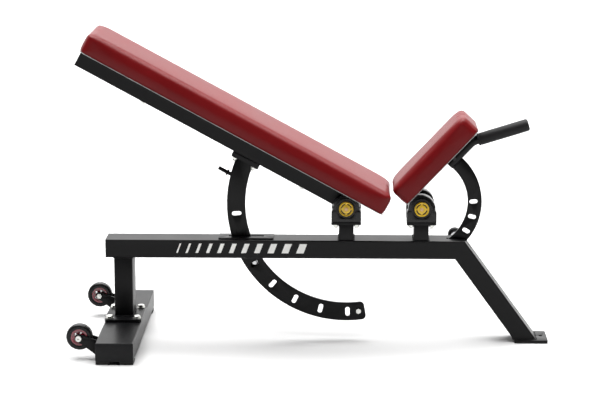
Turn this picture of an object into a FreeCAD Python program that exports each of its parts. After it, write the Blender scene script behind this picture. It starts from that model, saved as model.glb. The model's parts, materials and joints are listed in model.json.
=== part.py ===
import FreeCAD, Part
import math
import os
import re
import Sketcher

# Adjustable weight bench: a floor frame, a hinged back rest, a hinged seat,
# two sprung latch pins and two transport wheels. All sizes are in millimetres.
# +X points to the foot end (front), +Z up. The origin is on the floor under
# the middle of the frame. The back rest and the seat are drawn flat in frames
# of their own, with the pivot axis along Y at the origin, then tilted into place.

SIZES = {
    # overall
    "overall_length": 1290,
    "rail_top": 282,
    "tube_wall": 3,
    "fit_gap": 0.3,
    # rear foot, post and wheels
    "foot_long": 580,
    "foot_wide": 100,
    "foot_high": 50,
    "foot_cap": 4,
    "cap_plug": 12,
    "rubber_high": 9,
    "rubber_wide": 38,
    "rubber_long": 42,
    "rubber_spread": 31,
    "base_plate_long": 150,
    "base_plate_thick": 8,
    "base_bolt_fore": 37,
    "base_bolt_side": 58,
    "base_bolt_dia": 10,
    "post_deep": 50,
    "wheel_dia": 70,
    "wheel_wide": 24,
    "wheel_high": 61,
    "wheel_side": 227,
    "wheel_to_foot": 98,
    "wheel_gap": 2,
    "axle_dia": 8,
    "arm_thick": 5,
    "arm_wide": 30,
    "arm_eye": 22,
    "hub_dia": 44,
    "hub_rim": 4,
    "hub_web": 15,
    "hub_window": 6,
    # rail and front leg
    "rail_wide": 80,
    "rail_deep": 50,
    "rail_overhang": 46,
    "leg_angle": 54,
    "leg_setback": 31,
    "front_plate_long": 90,
    "front_plate_wide": 100,
    "front_plate_thick": 6,
    "front_pad_thick": 3,
    "floor_hole_dia": 11,
    "floor_hole_edge": 16,
    "slot_plate_long": 150,
    "slot_plate_wide": 58,
    "slot_plate_thick": 4,
    "slot_wide": 13,
    "slot_clear": 9,
    # pivots
    "seat_pivot_back": 118,
    "pivot_spacing": 203,
    "back_tilt": 28.6,
    "seat_tilt": 46.8,
    "pedestal_wide": 40,
    "pedestal_high": 48.5,
    "pedestal_plate_thick": 8,
    "block_base": 80,
    "block_centre": 36.5,
    "block_round": 36,
    "block_shoulder": 30,
    "block_deep": 38,
    "block_between": 44,
    "block_bore": 52,
    "block_bolt_fore": 28,
    "block_bolt_dia": 8,
    "bearing_wide": 15,
    "shaft_dia": 25,
    "race_in": 33,
    "race_out": 41,
    "ball_dia": 7.6,
    "ball_gap": 0.3,
    "cap_dia": 39,
    "cap_out": 6,
    # back rest
    "back_beam_deep": 56,
    "beam_wide": 40,
    "back_beam_drop": 15,
    "back_beam_rear": 823,
    "back_beam_front": 26,
    "back_hub_dia": 46,
    "back_arc_radius": 300,
    "back_arc_wide": 50,
    "arc_thick": 8,
    "arc_bow": 8,
    "back_slot_long": 26,
    "slot_high": 12,
    "back_slot_step": 14.3,
    "back_pin_drop": 23,
    "back_arc_tail": 9.2,
    "mount_plate_long": 80,
    "mount_plate_beam": 6,
    "mount_plate_arc": 8,
    "mount_bolt_pitch": 56,
    "mount_bolt_side": 11,
    "stop_bolt_dia": 8,
    "peg_dia": 10,
    "peg_long": 40,
    "peg_drop": 78,
    "back_pad_front": 91,
    "back_pad_rear": 828,
    "back_pad_wide": 240,
    "back_pad_thick": 56,
    "pad_corner": 18,
    "pad_edge": 8,
    "board_thick": 12,
    "board_inset": 6,
    "board_corner": 12,
    "pad_bolt_dia": 8,
    "back_bolt_near": 130,
    "back_bolt_far": 616,
    # seat
    "seat_beam_deep": 6,
    "seat_pad_drop": 39.3,
    "seat_pad_rear": 21,
    "seat_pad_front": 262,
    "seat_pad_wide": 164,
    "seat_pad_thick": 57.4,
    "seat_hub_dia": 46,
    "seat_bolt_near": 45,
    "seat_bolt_far": 108,
    "seat_arc_radius": 142,
    "seat_arc_mid": 145,
    "seat_arc_wide": 38,
    "seat_slot_long": 22,
    "seat_slot_step": 17,
    "seat_pin_angle": 47,
    "seat_arc_tail": 7,
    "handle_dia": 25,
    "handle_wall": 2.5,
    "handle_start": 131,
    "handle_bend_at": 222,
    "handle_bend_down": 29.5,
    "handle_bend_radius": 45,
    "handle_reach": 158,
    "grip_dia": 34,
    "grip_long": 143,
    "grip_end": 5,
    # latches
    "pin_dia": 10,
    "pin_rest_gap": 0.5,
    "barrel_dia": 24,
    "barrel_long": 34,
    "nose_dia": 15,
    "chamber_dia": 17,
    "chamber_start": 4,
    "chamber_end": 30,
    "collar_dia": 15.6,
    "collar_thick": 3,
    "collar_at": 17,
    "spring_wire": 1.2,
    "spring_pitch": 1.7,
    "knob_dia": 38,
    "knob_long": 26,
    "knob_gap": 13,
    "latch_plate_near": 13,
    "latch_plate_thick": 8,
    "latch_plate_wide": 40,
}

# Places that follow from the sizes.
PLACES = {
    "wheel_x": "-overall_length / 2 + wheel_dia / 2",
    "foot_x": "wheel_x + wheel_to_foot",
    "foot_top": "rubber_high + foot_high",
    "post_foot": "foot_top + base_plate_thick",
    "rail_bottom": "rail_top - rail_deep",
    "rail_rear": "foot_x - rail_overhang",
    "plate_top": "front_pad_thick + front_plate_thick",
    "plate_rear": "overall_length / 2 - front_plate_long",
    "leg_toe": "overall_length / 2 - leg_setback",
    "corner_x": "leg_toe - (rail_top - plate_top) / tan(leg_angle)",
    "corner_in": "corner_x - rail_deep * tan(leg_angle / 2)",
    "leg_heel": "leg_toe - rail_deep / sin(leg_angle)",
    "wall_mitre": "tube_wall * tan(leg_angle / 2)",
    "wall_slant": "tube_wall / sin(leg_angle)",
    "seat_pivot_x": "corner_x - seat_pivot_back",
    "back_pivot_x": "seat_pivot_x - pivot_spacing",
    "pedestal_top": "rail_top + pedestal_high",
    "block_foot": "pedestal_top + pedestal_plate_thick",
    "pivot_z": "block_foot + block_centre",
    "block_side": "block_between / 2 + block_deep / 2",
    "block_face": "block_between / 2 + block_deep",
    "shaft_half": "block_face - 2",
    "ball_ring": "(race_in + race_out) / 4",
    "back_arc_out": "back_arc_radius + back_arc_wide / 2",
    "back_arc_in": "back_arc_radius - back_arc_wide / 2",
    "back_pin_angle": "180 - asin((under_drop + back_pin_drop) / back_arc_radius) / 1 deg",
    "mount_drop": "back_beam_drop + mount_plate_beam + mount_plate_arc",
    "back_slot_first": "-back_pin_angle + 4 * back_slot_step + back_tilt",
    "back_arc_end": "back_slot_first + back_arc_tail",
    "back_beam_top": "back_beam_deep - back_beam_drop",
    "mount_mid": "sqrt(back_arc_radius ^ 2 - mount_drop ^ 2)",
    "seat_beam_low": "seat_pad_drop - seat_beam_deep",
    "handle_axis": "seat_beam_low - handle_dia / 2",
    "seat_slot_first": "-seat_pin_angle + 3 * seat_slot_step - seat_tilt",
    "seat_arc_end": "-seat_pin_angle - seat_arc_tail - seat_tilt",
    "arc_mid_x": "arc_bow * sin(seat_tilt)",
    "arc_mid_z": "arc_bow * cos(seat_tilt)",
    "seat_arc_out": "seat_arc_mid + seat_arc_wide / 2",
    "seat_arc_in": "seat_arc_mid - seat_arc_wide / 2",
    "back_pin_x": "back_pivot_x - back_arc_radius * cos(180 - back_pin_angle)",
    "back_pin_z": "pivot_z - back_arc_radius * sin(180 - back_pin_angle)",
    "seat_pin_x": "seat_pivot_x + seat_arc_radius * cos(seat_pin_angle)",
    "seat_pin_z": "pivot_z - seat_arc_radius * sin(seat_pin_angle)",
    "latch_plate_far": "latch_plate_near + latch_plate_thick",
    "pin_tip": "arc_thick / 2 + pin_rest_gap",
    "arc_room": "back_arc_out + slot_clear",
    "arc_hole": "back_arc_in - slot_clear",
    "rail_drop": "pivot_z - rail_top",
    "under_drop": "pivot_z - rail_bottom",
    "back_slot_rear": "back_pivot_x - sqrt(arc_room ^ 2 - rail_drop ^ 2)",
    "back_slot_front": "back_pivot_x - sqrt(arc_hole ^ 2 - under_drop ^ 2)",
    "seat_reach": "seat_arc_out + arc_bow",
    "seat_inner": "seat_arc_in - arc_bow",
    "seat_slot_rear": "seat_pivot_x + sqrt(seat_inner ^ 2 - rail_drop ^ 2) - slot_clear / 3",
    "under_slot_rear": "seat_pivot_x - seat_arc_out * sin(seat_arc_tail + 12) - slot_clear / 3",
    "under_slot_front": "seat_pivot_x + sqrt(seat_reach ^ 2 - under_drop ^ 2) + slot_clear / 3",
}

doc = FreeCAD.newDocument("weight_bench")
sizes = doc.addObject("Spreadsheet::Sheet", "Sizes")
for row, (alias, value) in enumerate(SIZES.items(), 1):
    sizes.set(f"A{row}", alias)
    sizes.set(f"B{row}", str(value))
    sizes.setAlias(f"B{row}", alias)


def link(text, own_sheet=False):
    """Point each named size in an expression at the sheet that holds it."""
    def target(match):
        word = match.group(0)
        if word in SIZES:
            return "Sizes." + word
        if word in PLACES and not own_sheet:
            return "Places." + word
        return word
    return re.sub(r"[a-z_][a-z_0-9]*", target, str(text))


places = doc.addObject("Spreadsheet::Sheet", "Places")
for row, (alias, formula) in enumerate(PLACES.items(), 1):
    places.set(f"A{row}", alias)
    places.set(f"B{row}", "=" + link(formula, own_sheet=True))
    places.setAlias(f"B{row}", alias)
doc.recompute()

NODES = {}
Y_AXIS = FreeCAD.Vector(0, 1, 0)
TURNS = {
    "Z": FreeCAD.Rotation(),
    "Y": FreeCAD.Rotation(FreeCAD.Vector(1, 0, 0), -90),
    "-Y": FreeCAD.Rotation(FreeCAD.Vector(1, 0, 0), 90),
    "-Z": FreeCAD.Rotation(FreeCAD.Vector(1, 0, 0), 180),
    "X": FreeCAD.Rotation(FreeCAD.Vector(0, 1, 0), 90),
}


def bind(obj, **formulas):
    for name, formula in formulas.items():
        obj.setExpression(name, link(formula))
    return obj


def at(obj, x="0", y="0", z="0", turn="Z"):
    """Put an object at x, y, z with its own +Z along the named direction."""
    obj.Placement = FreeCAD.Placement(FreeCAD.Vector(), TURNS[turn])
    for axis, formula in zip("xyz", (x, y, z)):
        obj.setExpression(f"Placement.Base.{axis}", link(formula))
    return obj


def tilt(obj, part):
    """Carry a piece drawn flat at its pivot to its place on the bench."""
    pivot, angle, axis = {
        "back": ("back_pivot_x", "back_tilt", Y_AXIS),
        "seat": ("seat_pivot_x", "seat_tilt", -Y_AXIS),
    }[part]
    obj.Placement = FreeCAD.Placement(FreeCAD.Vector(), FreeCAD.Rotation(axis, 10))
    obj.setExpression("Placement.Base.x", link(pivot))
    obj.setExpression("Placement.Base.z", link("pivot_z"))
    obj.setExpression("Placement.Rotation.Angle", link(angle))
    return obj


def node(name, obj, part="frame"):
    """Name a finished piece; its label is the name of its file."""
    if part in ("back", "seat"):
        tilt(obj, part)
    obj.Label = name
    NODES[name] = obj
    return obj


# ---------------------------------------------------------------- solids

def box(x, y, z, length, width, height):
    piece = doc.addObject("Part::Box", "Box")
    bind(piece, Length=length, Width=width, Height=height)
    return at(piece, x, y, z)


def rod(x, y, z, diameter, length, turn="Z"):
    piece = doc.addObject("Part::Cylinder", "Rod")
    bind(piece, Radius=f"({diameter}) / 2", Height=length)
    return at(piece, x, y, z, turn)


def ball(x, y, z, diameter):
    piece = doc.addObject("Part::Sphere", "Ball")
    bind(piece, Radius=f"({diameter}) / 2")
    return at(piece, x, y, z)


def hexagon(x, y, z, across, height, turn="Z"):
    piece = doc.addObject("Part::Prism", "Hexagon")
    piece.Polygon = 6
    bind(piece, Circumradius=f"({across}) / sqrt(3)", Height=height)
    return at(piece, x, y, z, turn)


def cut(base, *tools):
    for tool in tools:
        piece = doc.addObject("Part::Cut", "Cut")
        piece.Base = base
        piece.Tool = tool
        base = piece
    return base


def fuse(*pieces):
    joined = doc.addObject("Part::MultiFuse", "Fuse")
    joined.Shapes = list(pieces)
    return joined


def group(pieces):
    """Separate solids that share one node."""
    bundle = doc.addObject("Part::Compound", "Group")
    bundle.Links = list(pieces)
    return bundle


def bolt(x, y, z, diameter, shank, turn="Z"):
    """Hex bolt: the head's under-side is at the given point, the shank runs back along -turn."""
    back = {"Z": "-Z", "-Z": "Z", "Y": "-Y", "-Y": "Y"}[turn]
    head = hexagon(x, y, z, f"1.6 * ({diameter})", f"0.65 * ({diameter})", turn)
    return fuse(head, rod(x, y, z, diameter, shank, back))


# ---------------------------------------------------------------- bodies

def new_body(name):
    return doc.addObject("PartDesign::Body", name)


def origin_feature(body, role):
    return [f for f in body.Origin.OriginFeatures if f.Role == role][0]


def new_sketch(body, plane, lift="0"):
    sketch = body.newObject("Sketcher::SketchObject", "Sketch")
    sketch.AttachmentSupport = [(origin_feature(body, plane), "")]
    sketch.MapMode = "FlatFace"
    if lift != "0":
        sketch.setExpression("AttachmentOffset.Base.z", link(lift))
    return sketch


def fix(sketch, geometry, point, x, y, start):
    for kind, formula, value in (("DistanceX", x, start[0]), ("DistanceY", y, start[1])):
        number = sketch.addConstraint(Sketcher.Constraint(kind, -1, 1, geometry, point, value))
        sketch.setExpression(f"Constraints[{number}]", link(formula))


def draw_polygon(sketch, points):
    """A closed outline, every corner held at its own formula."""
    first = sketch.GeometryCount
    count = len(points)
    ring = []
    for number in range(count):
        angle = 2 * math.pi * number / count
        ring.append(FreeCAD.Vector(10 * math.cos(angle), 10 * math.sin(angle), 0))
    for number in range(count):
        sketch.addGeometry(Part.LineSegment(ring[number], ring[(number + 1) % count]), False)
    for number, (x, y) in enumerate(points):
        following = first + (number + 1) % count
        sketch.addConstraint(Sketcher.Constraint("Coincident", first + number, 2, following, 1))
        fix(sketch, first + number, 1, x, y, ring[number])


def draw_circle(sketch, x, y, diameter):
    index = sketch.GeometryCount
    centre = FreeCAD.Vector(1 + index, 1, 0)
    sketch.addGeometry(Part.Circle(centre, FreeCAD.Vector(0, 0, 1), 1.0), False)
    number = sketch.addConstraint(Sketcher.Constraint("Diameter", index, 2.0))
    sketch.setExpression(f"Constraints[{number}]", link(diameter))
    fix(sketch, index, 3, x, y, centre)


def outline(body, plane, polygons=(), circles=(), lift="0"):
    sketch = new_sketch(body, plane, lift)
    for points in polygons:
        draw_polygon(sketch, points)
    for x, y, diameter in circles:
        draw_circle(sketch, x, y, diameter)
    return sketch


def pad(body, sketch, length, side="Symmetric", reverse=False):
    feature = body.newObject("PartDesign::Pad", "Pad")
    feature.Profile = sketch
    feature.SideType = side
    feature.Reversed = reverse
    return bind(feature, Length=length)


def pocket(body, sketch, length, side="Symmetric", reverse=False):
    """Cut a pocket and make sure that it took something away."""
    doc.recompute()
    before = body.Shape.Volume
    feature = body.newObject("PartDesign::Pocket", "Pocket")
    feature.Profile = sketch
    feature.SideType = side
    feature.Reversed = reverse
    bind(feature, Length=length)
    doc.recompute()
    if body.Shape.Volume > before - 0.01:
        raise RuntimeError(f"a pocket in {body.Name} cuts nothing")
    return feature


def fillet(body, radius, wanted):
    """Round the edges that the test picks."""
    doc.recompute()
    base = body.Tip
    names = [f"Edge{i}" for i, edge in enumerate(base.Shape.Edges, 1) if wanted(edge)]
    feature = body.newObject("PartDesign::Fillet", "Fillet")
    feature.Base = (base, names)
    return bind(feature, Radius=radius)


def revolve(body, points, plane="XZ_Plane", axis="Z_Axis"):
    sketch = outline(body, plane, [points])
    feature = body.newObject("PartDesign::Revolution", "Revolution")
    feature.Profile = sketch
    feature.ReferenceAxis = (origin_feature(body, axis), [""])
    feature.Angle = 360
    return feature


def along(direction):
    """Test for straight edges in one direction."""
    def test(edge):
        if not isinstance(edge.Curve, Part.Line):
            return False
        return abs(abs(edge.tangentAt(edge.FirstParameter).dot(direction)) - 1) < 1e-6
    return test


def rectangle(x0, y0, x1, y1):
    return [(x0, y0), (x1, y0), (x1, y1), (x0, y1)]


def trimmed(x0, y0, x1, y1, off):
    """Rectangle with its corners cut at 45 degrees."""
    return [(f"{x0} + {off}", y0), (f"{x1} - {off}", y0), (x1, f"{y0} + {off}"), (x1, f"{y1} - {off}"),
            (f"{x1} - {off}", y1), (f"{x0} + {off}", y1), (x0, f"{y1} - {off}"), (x0, f"{y0} + {off}")]


# ---------------------------------------------------------------- rear foot and post

def make_rear_foot():
    half = "foot_long / 2"
    body = new_body("CrossFoot")
    low, high = "rubber_high", "foot_top"
    left, right = "foot_x - foot_wide / 2", "foot_x + foot_wide / 2"
    pad(body, outline(body, "XZ_Plane", [rectangle(left, low, right, high)]), "foot_long - 2 * foot_cap")
    inside = rectangle(f"{left} + tube_wall", f"{low} + tube_wall",
                       f"{right} - tube_wall", f"{high} - tube_wall")
    pocket(body, outline(body, "XZ_Plane", [inside]), "foot_long")
    bolts = base_bolt_places()
    holes = [(x, y, "base_bolt_dia + 2 * fit_gap") for x, y in bolts]
    sketch = outline(body, "XY_Plane", circles=holes, lift="foot_top + 1")
    pocket(body, sketch, "tube_wall + 2", "One side")
    fillet(body, "tube_wall", along_y_outside("foot_x", "foot_wide"))
    node("cross_foot", body)

    caps = []
    for side in (1, -1):
        start = f"{side} * {half}" if side < 0 else f"{half} - foot_cap"
        flange = box(left, start, low, "foot_wide", "foot_cap", "foot_high")
        plug_start = f"{half} - foot_cap - cap_plug" if side > 0 else f"-{half} + foot_cap"
        plug = box(f"{left} + tube_wall", plug_start, f"{low} + tube_wall",
                   "foot_wide - 2 * tube_wall", "cap_plug", "foot_high - 2 * tube_wall")
        caps.append(fuse(flange, plug))
    node("foot_end_caps", group(caps))

    feet = []
    for fore in (-1, 1):
        for side in (-1, 1):
            x = f"foot_x + {fore} * rubber_spread - rubber_wide / 2"
            y = f"{side} * ({half} - foot_cap - rubber_long / 2) - rubber_long / 2"
            feet.append(box(x, y, "0", "rubber_wide", "rubber_long", "rubber_high"))
    node("rubber_feet", group(feet))

    plate = new_body("PostBasePlate")
    corners = rectangle(left, "-base_plate_long / 2", right, "base_plate_long / 2")
    sketch = outline(plate, "XY_Plane", [corners], holes, "foot_top")
    pad(plate, sketch, "base_plate_thick", "One side")
    fillet(plate, "6", along(FreeCAD.Vector(0, 0, 1)))
    node("post_base_plate", plate)

    post = new_body("RearPost")
    outer = rectangle("foot_x - post_deep / 2", "-rail_wide / 2", "foot_x + post_deep / 2", "rail_wide / 2")
    inner = rectangle("foot_x - post_deep / 2 + tube_wall", "-rail_wide / 2 + tube_wall",
                      "foot_x + post_deep / 2 - tube_wall", "rail_wide / 2 - tube_wall")
    sketch = outline(post, "XY_Plane", [outer, inner], lift="post_foot")
    pad(post, sketch, "rail_bottom - post_foot", "One side")
    node("rear_post", post)

    heads = [bolt(x, y, "post_foot", "base_bolt_dia", "base_plate_thick + tube_wall + 12") for x, y in bolts]
    node("base_bolts", group(heads))
    nuts = []
    for x, y in bolts:
        nut = hexagon(x, y, "foot_top - tube_wall", "1.6 * base_bolt_dia", "0.8 * base_bolt_dia", "-Z")
        hole = rod(x, y, "foot_top", "base_bolt_dia", "tube_wall + base_bolt_dia", "-Z")
        nuts.append(cut(nut, hole))
    node("base_nuts", group(nuts))


def base_bolt_places():
    spots = []
    for fore in (-1, 1):
        for side in (-1, 1):
            spots.append((f"foot_x + {fore} * base_bolt_fore", f"{side} * base_bolt_side"))
    return spots


def along_y_outside(centre, width):
    """Long outer corner edges of a tube that runs along Y."""
    middle = places.get(centre)
    half = sizes.get(width) / 2
    straight = along(Y_AXIS)
    return lambda edge: straight(edge) and abs(abs(edge.Vertexes[0].X - middle) - half) < 1e-3


# ---------------------------------------------------------------- wheels

def make_wheels():
    arms, axles, nuts = [], [], []
    inner = "wheel_wide / 2 + wheel_gap"
    for number, side in enumerate((-1, 1)):
        name = ("right", "left")[number]
        centre = f"{side} * wheel_side"
        for offset in (f"{inner}", f"-({inner}) - arm_thick"):
            arms.append(make_arm(f"{centre} + {offset}"))
        outer = f"{centre} + {side} * ({inner} + arm_thick)"
        turn = ("-Y", "Y")[number]
        back = ("Y", "-Y")[number]
        span = "2 * (wheel_wide / 2 + wheel_gap + arm_thick)"
        shank = rod("wheel_x", outer, "wheel_high", "axle_dia", f"{span} + axle_dia", back)
        head = rod("wheel_x", outer, "wheel_high", "1.9 * axle_dia", "axle_dia", turn)
        socket = hexagon("wheel_x", f"{outer} + {side} * axle_dia / 2", "wheel_high",
                         "0.75 * axle_dia", "axle_dia", turn)
        axles.append(cut(fuse(shank, head), socket))
        inside = f"{centre} - {side} * ({inner} + arm_thick)"
        nut = hexagon("wheel_x", inside, "wheel_high", "1.6 * axle_dia", "0.8 * axle_dia", back)
        nuts.append(cut(nut, rod("wheel_x", inside, "wheel_high", "axle_dia", "axle_dia", back)))
        make_wheel(name, centre)
    node("wheel_arms", group(arms))
    node("wheel_axles", group(axles))
    node("wheel_nuts", group(nuts))


def make_arm(start):
    """Flat arm from the back of the foot down to the axle."""
    body = new_body("WheelArm")
    rise = "foot_top - 4"
    root = "foot_x - foot_wide / 2"
    shape = [("wheel_x", "wheel_high - arm_eye / 2"), (root, f"{rise} - 1.4 * arm_wide"),
             (root, rise), ("wheel_x", "wheel_high + arm_eye / 2")]
    pad(body, outline(body, "XZ_Plane", [shape]), "arm_thick", "One side", True)
    eye = outline(body, "XZ_Plane", circles=[("wheel_x", "wheel_high", "arm_eye")])
    pad(body, eye, "arm_thick", "One side", True)
    hole = outline(body, "XZ_Plane", circles=[("wheel_x", "wheel_high", "axle_dia + fit_gap")])
    pocket(body, hole, "4 * arm_thick")
    body.setExpression("Placement.Base.y", link(start))
    return body


def make_wheel(name, centre):
    half = "wheel_wide / 2"
    tread = "wheel_dia / 2"
    tyre = new_body("Tyre")
    section = [("hub_dia / 2", f"-{half} + 1"), (f"{tread} - 4", f"-{half}"), (tread, f"-{half} + 6"),
               (tread, f"{half} - 6"), (f"{tread} - 4", half), ("hub_dia / 2", f"{half} - 1")]
    revolve(tyre, section, "XY_Plane", "Y_Axis")
    at(tyre, "wheel_x", centre, "wheel_high")
    node(f"wheel_{name}_tyre", tyre)

    hub = new_body("Hub")
    rim_in = "hub_dia / 2 - hub_rim"
    web = "hub_web / 2"
    section = [("axle_dia / 2 + 0.1", f"-{half} - 1"), ("axle_dia", f"-{half} - 1"), ("axle_dia", f"-{web}"),
               (rim_in, f"-{web}"), (rim_in, f"-{half} + 1"), ("hub_dia / 2", f"-{half} + 1"),
               ("hub_dia / 2", f"{half} - 1"), (rim_in, f"{half} - 1"), (rim_in, web),
               ("axle_dia", web), ("axle_dia", f"{half} + 1"), ("axle_dia / 2 + 0.1", f"{half} + 1")]
    revolve(hub, section, "XY_Plane", "Y_Axis")
    window = outline(hub, "XZ_Plane", circles=[(f"({rim_in} + axle_dia) / 2", "0", "hub_window")])
    hole = pocket(hub, window, "wheel_wide")
    pattern = hub.newObject("PartDesign::PolarPattern", "Windows")
    pattern.Originals = [hole]
    pattern.Axis = (origin_feature(hub, "Y_Axis"), [""])
    pattern.Angle = 360
    pattern.Occurrences = 5
    hub.Tip = pattern
    at(hub, "wheel_x", centre, "wheel_high")
    node(f"wheel_{name}_hub", hub)


# ---------------------------------------------------------------- rail, leg and front foot

def make_rail():
    body = new_body("MainRail")
    outer = [("rail_rear", "rail_bottom"), ("corner_in", "rail_bottom"),
             ("corner_x", "rail_top"), ("rail_rear", "rail_top")]
    pad(body, outline(body, "XZ_Plane", [outer]), "rail_wide")
    fillet(body, "tube_wall", long_edges("rail_wide", FreeCAD.Vector(1, 0, 0)))
    inner = rectangle("rail_rear - 5", "rail_bottom + tube_wall", "corner_x + 20", "rail_top - tube_wall")
    pocket(body, outline(body, "XZ_Plane", [inner]), "rail_wide - 2 * tube_wall")
    through = rectangle("back_slot_rear", "rail_bottom - 5", "back_slot_front", "rail_top + 5")
    pocket(body, outline(body, "XZ_Plane", [through]), "slot_wide")
    above = rectangle("seat_slot_rear", "rail_top - tube_wall - 8", "corner_x + 20", "rail_top + 5")
    below = rectangle("under_slot_rear", "rail_bottom - 5", "under_slot_front", "rail_bottom + tube_wall + 2")
    pocket(body, outline(body, "XZ_Plane", [above, below]), "slot_wide")
    nose = outline(body, "XZ_Plane", circles=[("seat_pin_x", "seat_pin_z", "nose_dia")])
    pocket(body, nose, "rail_wide", "One side", False)
    node("main_rail", body)

    flange = box("rail_rear - 2", "-rail_wide / 2", "rail_bottom", "2", "rail_wide", "rail_deep")
    plug = box("rail_rear", "-rail_wide / 2 + tube_wall", "rail_bottom + tube_wall",
               "cap_plug", "rail_wide - 2 * tube_wall", "rail_deep - 2 * tube_wall")
    node("rail_end_cap", fuse(flange, plug))

    plate = new_body("SlotPlate")
    middle = "(back_slot_rear + back_slot_front) / 2"
    edge = "slot_plate_wide / 2"
    sketch = outline(plate, "XY_Plane", [
        rectangle(f"{middle} - slot_plate_long / 2", f"-{edge}", f"{middle} + slot_plate_long / 2", edge),
        rectangle("back_slot_rear", "-slot_wide / 2", "back_slot_front", "slot_wide / 2")], lift="rail_top")
    pad(plate, sketch, "slot_plate_thick", "One side")
    node("rail_slot_plate", plate)


def long_edges(width, direction):
    """Outer long edges of a tube that is symmetric about the XZ plane."""
    half = sizes.get(width) / 2
    straight = along(direction)
    return lambda edge: straight(edge) and abs(abs(edge.Vertexes[0].Y) - half) < 1e-3


def make_front_leg():
    body = new_body("FrontLeg")
    outer = [("corner_in", "rail_bottom"), ("leg_heel", "plate_top"),
             ("leg_toe", "plate_top"), ("corner_x", "rail_top")]
    pad(body, outline(body, "XZ_Plane", [outer]), "rail_wide")
    angle = math.radians(sizes.get("leg_angle"))
    fillet(body, "tube_wall", long_edges("rail_wide", FreeCAD.Vector(math.cos(angle), 0, -math.sin(angle))))
    inner = [("corner_in - 20 + wall_mitre", "rail_bottom + tube_wall"),
             ("corner_in + wall_mitre", "rail_bottom + tube_wall"),
             ("leg_heel + wall_slant + 20 / tan(leg_angle)", "plate_top - 20"),
             ("leg_toe - wall_slant + 20 / tan(leg_angle)", "plate_top - 20"),
             ("corner_x - wall_mitre", "rail_top - tube_wall"),
             ("corner_in - 20 + wall_mitre", "rail_top - tube_wall")]
    pocket(body, outline(body, "XZ_Plane", [inner]), "rail_wide - 2 * tube_wall")
    notch = rectangle("corner_in", "rail_top - 28", "corner_x + 60", "rail_top + 5")
    pocket(body, outline(body, "XZ_Plane", [notch]), "slot_wide")
    node("front_leg", body)

    for name, low, thick in (("front_foot_pad", "0", "front_pad_thick"),
                             ("front_foot_plate", "front_pad_thick", "front_plate_thick")):
        plate = new_body("Plate")
        corners = rectangle("plate_rear", "-front_plate_wide / 2", "overall_length / 2", "front_plate_wide / 2")
        hole = ("overall_length / 2 - floor_hole_edge", "0", "floor_hole_dia")
        pad(plate, outline(plate, "XY_Plane", [corners], [hole], low), thick, "One side")
        fillet(plate, "4", along(FreeCAD.Vector(0, 0, 1)))
        node(name, plate)


# ---------------------------------------------------------------- pivots

def make_pivots():
    posts, plates, blocks, races, caps, bolts, balls = [], [], [], [], [], [], []
    for pivot in ("back_pivot_x", "seat_pivot_x"):
        corner = f"{pivot} - pedestal_wide / 2"
        tube = box(corner, "-rail_wide / 2", "rail_top", "pedestal_wide", "rail_wide", "pedestal_high")
        hollow = box(f"{corner} + tube_wall", "-rail_wide / 2 + tube_wall", "rail_top - 1",
                     "pedestal_wide - 2 * tube_wall", "rail_wide - 2 * tube_wall", "pedestal_high + 2")
        posts.append(cut(tube, hollow))
        drilled = box(f"{pivot} - block_base / 2", "-block_face - 1", "pedestal_top",
                      "block_base", "2 * block_face + 2", "pedestal_plate_thick")
        for side in (-1, 1):
            for fore in (-1, 1):
                spot = (f"{pivot} + {fore} * block_bolt_fore", f"{side} * block_side")
                shank = "pedestal_plate_thick + 14"
                drilled = cut(drilled, rod(*spot, "pedestal_top - 1", "block_bolt_dia + 2 * fit_gap",
                                           "pedestal_plate_thick + 2"))
                bolts.append(bolt(*spot, "pedestal_top", "block_bolt_dia", shank, "-Z"))
            blocks.append(make_block(pivot, side))
            races.append(make_race(side, "race_out", "block_bore", pivot, "pivot_z"))
            balls.extend(make_balls(pivot, side))
            caps.append(make_bearing_cap(pivot, side))
        plates.append(drilled)
    node("pivot_posts", group(posts))
    node("pivot_plates", group(plates))
    node("bearing_blocks", group(blocks))
    node("bearing_outer_rings", group(races))
    node("bearing_balls", group(balls))
    node("bearing_caps", group(caps))
    node("block_bolts", group(bolts))


def make_block(pivot, side):
    """Cast pillow block: flat base, shoulders over the bolts, round top and a bored eye."""
    body = new_body("Block")
    edge = "block_base / 2"
    base = rectangle(f"-{edge}", "-block_centre", edge, "-block_centre + block_shoulder")
    pad(body, outline(body, "XZ_Plane", [base]), "block_deep")
    round_top = outline(body, "XZ_Plane", circles=[("0", "0", "2 * block_round")])
    pad(body, round_top, "block_deep - 6")
    boss = outline(body, "XZ_Plane", circles=[("0", "0", "block_bore + 4")])
    pad(body, boss, "block_deep")
    pocket(body, outline(body, "XZ_Plane", circles=[("0", "0", "block_bore")]), "block_deep + 4")
    waist = outline(body, "XY_Plane", circles=[
        ("-block_bolt_fore", "0", "block_bolt_dia + fit_gap"),
        ("block_bolt_fore", "0", "block_bolt_dia + fit_gap")], lift="-block_centre")
    pocket(body, waist, "15", "One side", True)
    shoulder_top = sizes.get("block_shoulder") - sizes.get("block_centre")
    half = sizes.get("block_base") / 2
    straight = along(Y_AXIS)
    fillet(body, "block_base / 2 - block_round", lambda edge_: straight(edge_)
           and abs(edge_.Vertexes[0].Z - shoulder_top) < 1e-3
           and abs(abs(edge_.Vertexes[0].X) - half) < 1e-3)
    return at(body, pivot, f"{side} * block_side", "pivot_z")


def make_race(side, inner, outer, pivot="0", height="0"):
    """Bearing ring with a ball groove, turned about Y."""
    body = new_body("Race")
    half = "bearing_wide / 2"
    revolve(body, rectangle(f"({inner}) / 2", f"-{half}", f"({outer}) / 2", half), "XY_Plane", "Y_Axis")
    groove = outline(body, "XY_Plane", circles=[("ball_ring", "0", "ball_dia + 2 * ball_gap")])
    feature = body.newObject("PartDesign::Groove", "Groove")
    feature.Profile = groove
    feature.ReferenceAxis = (origin_feature(body, "Y_Axis"), [""])
    feature.Angle = 360
    return at(body, pivot, f"{side} * block_side", height)


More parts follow.
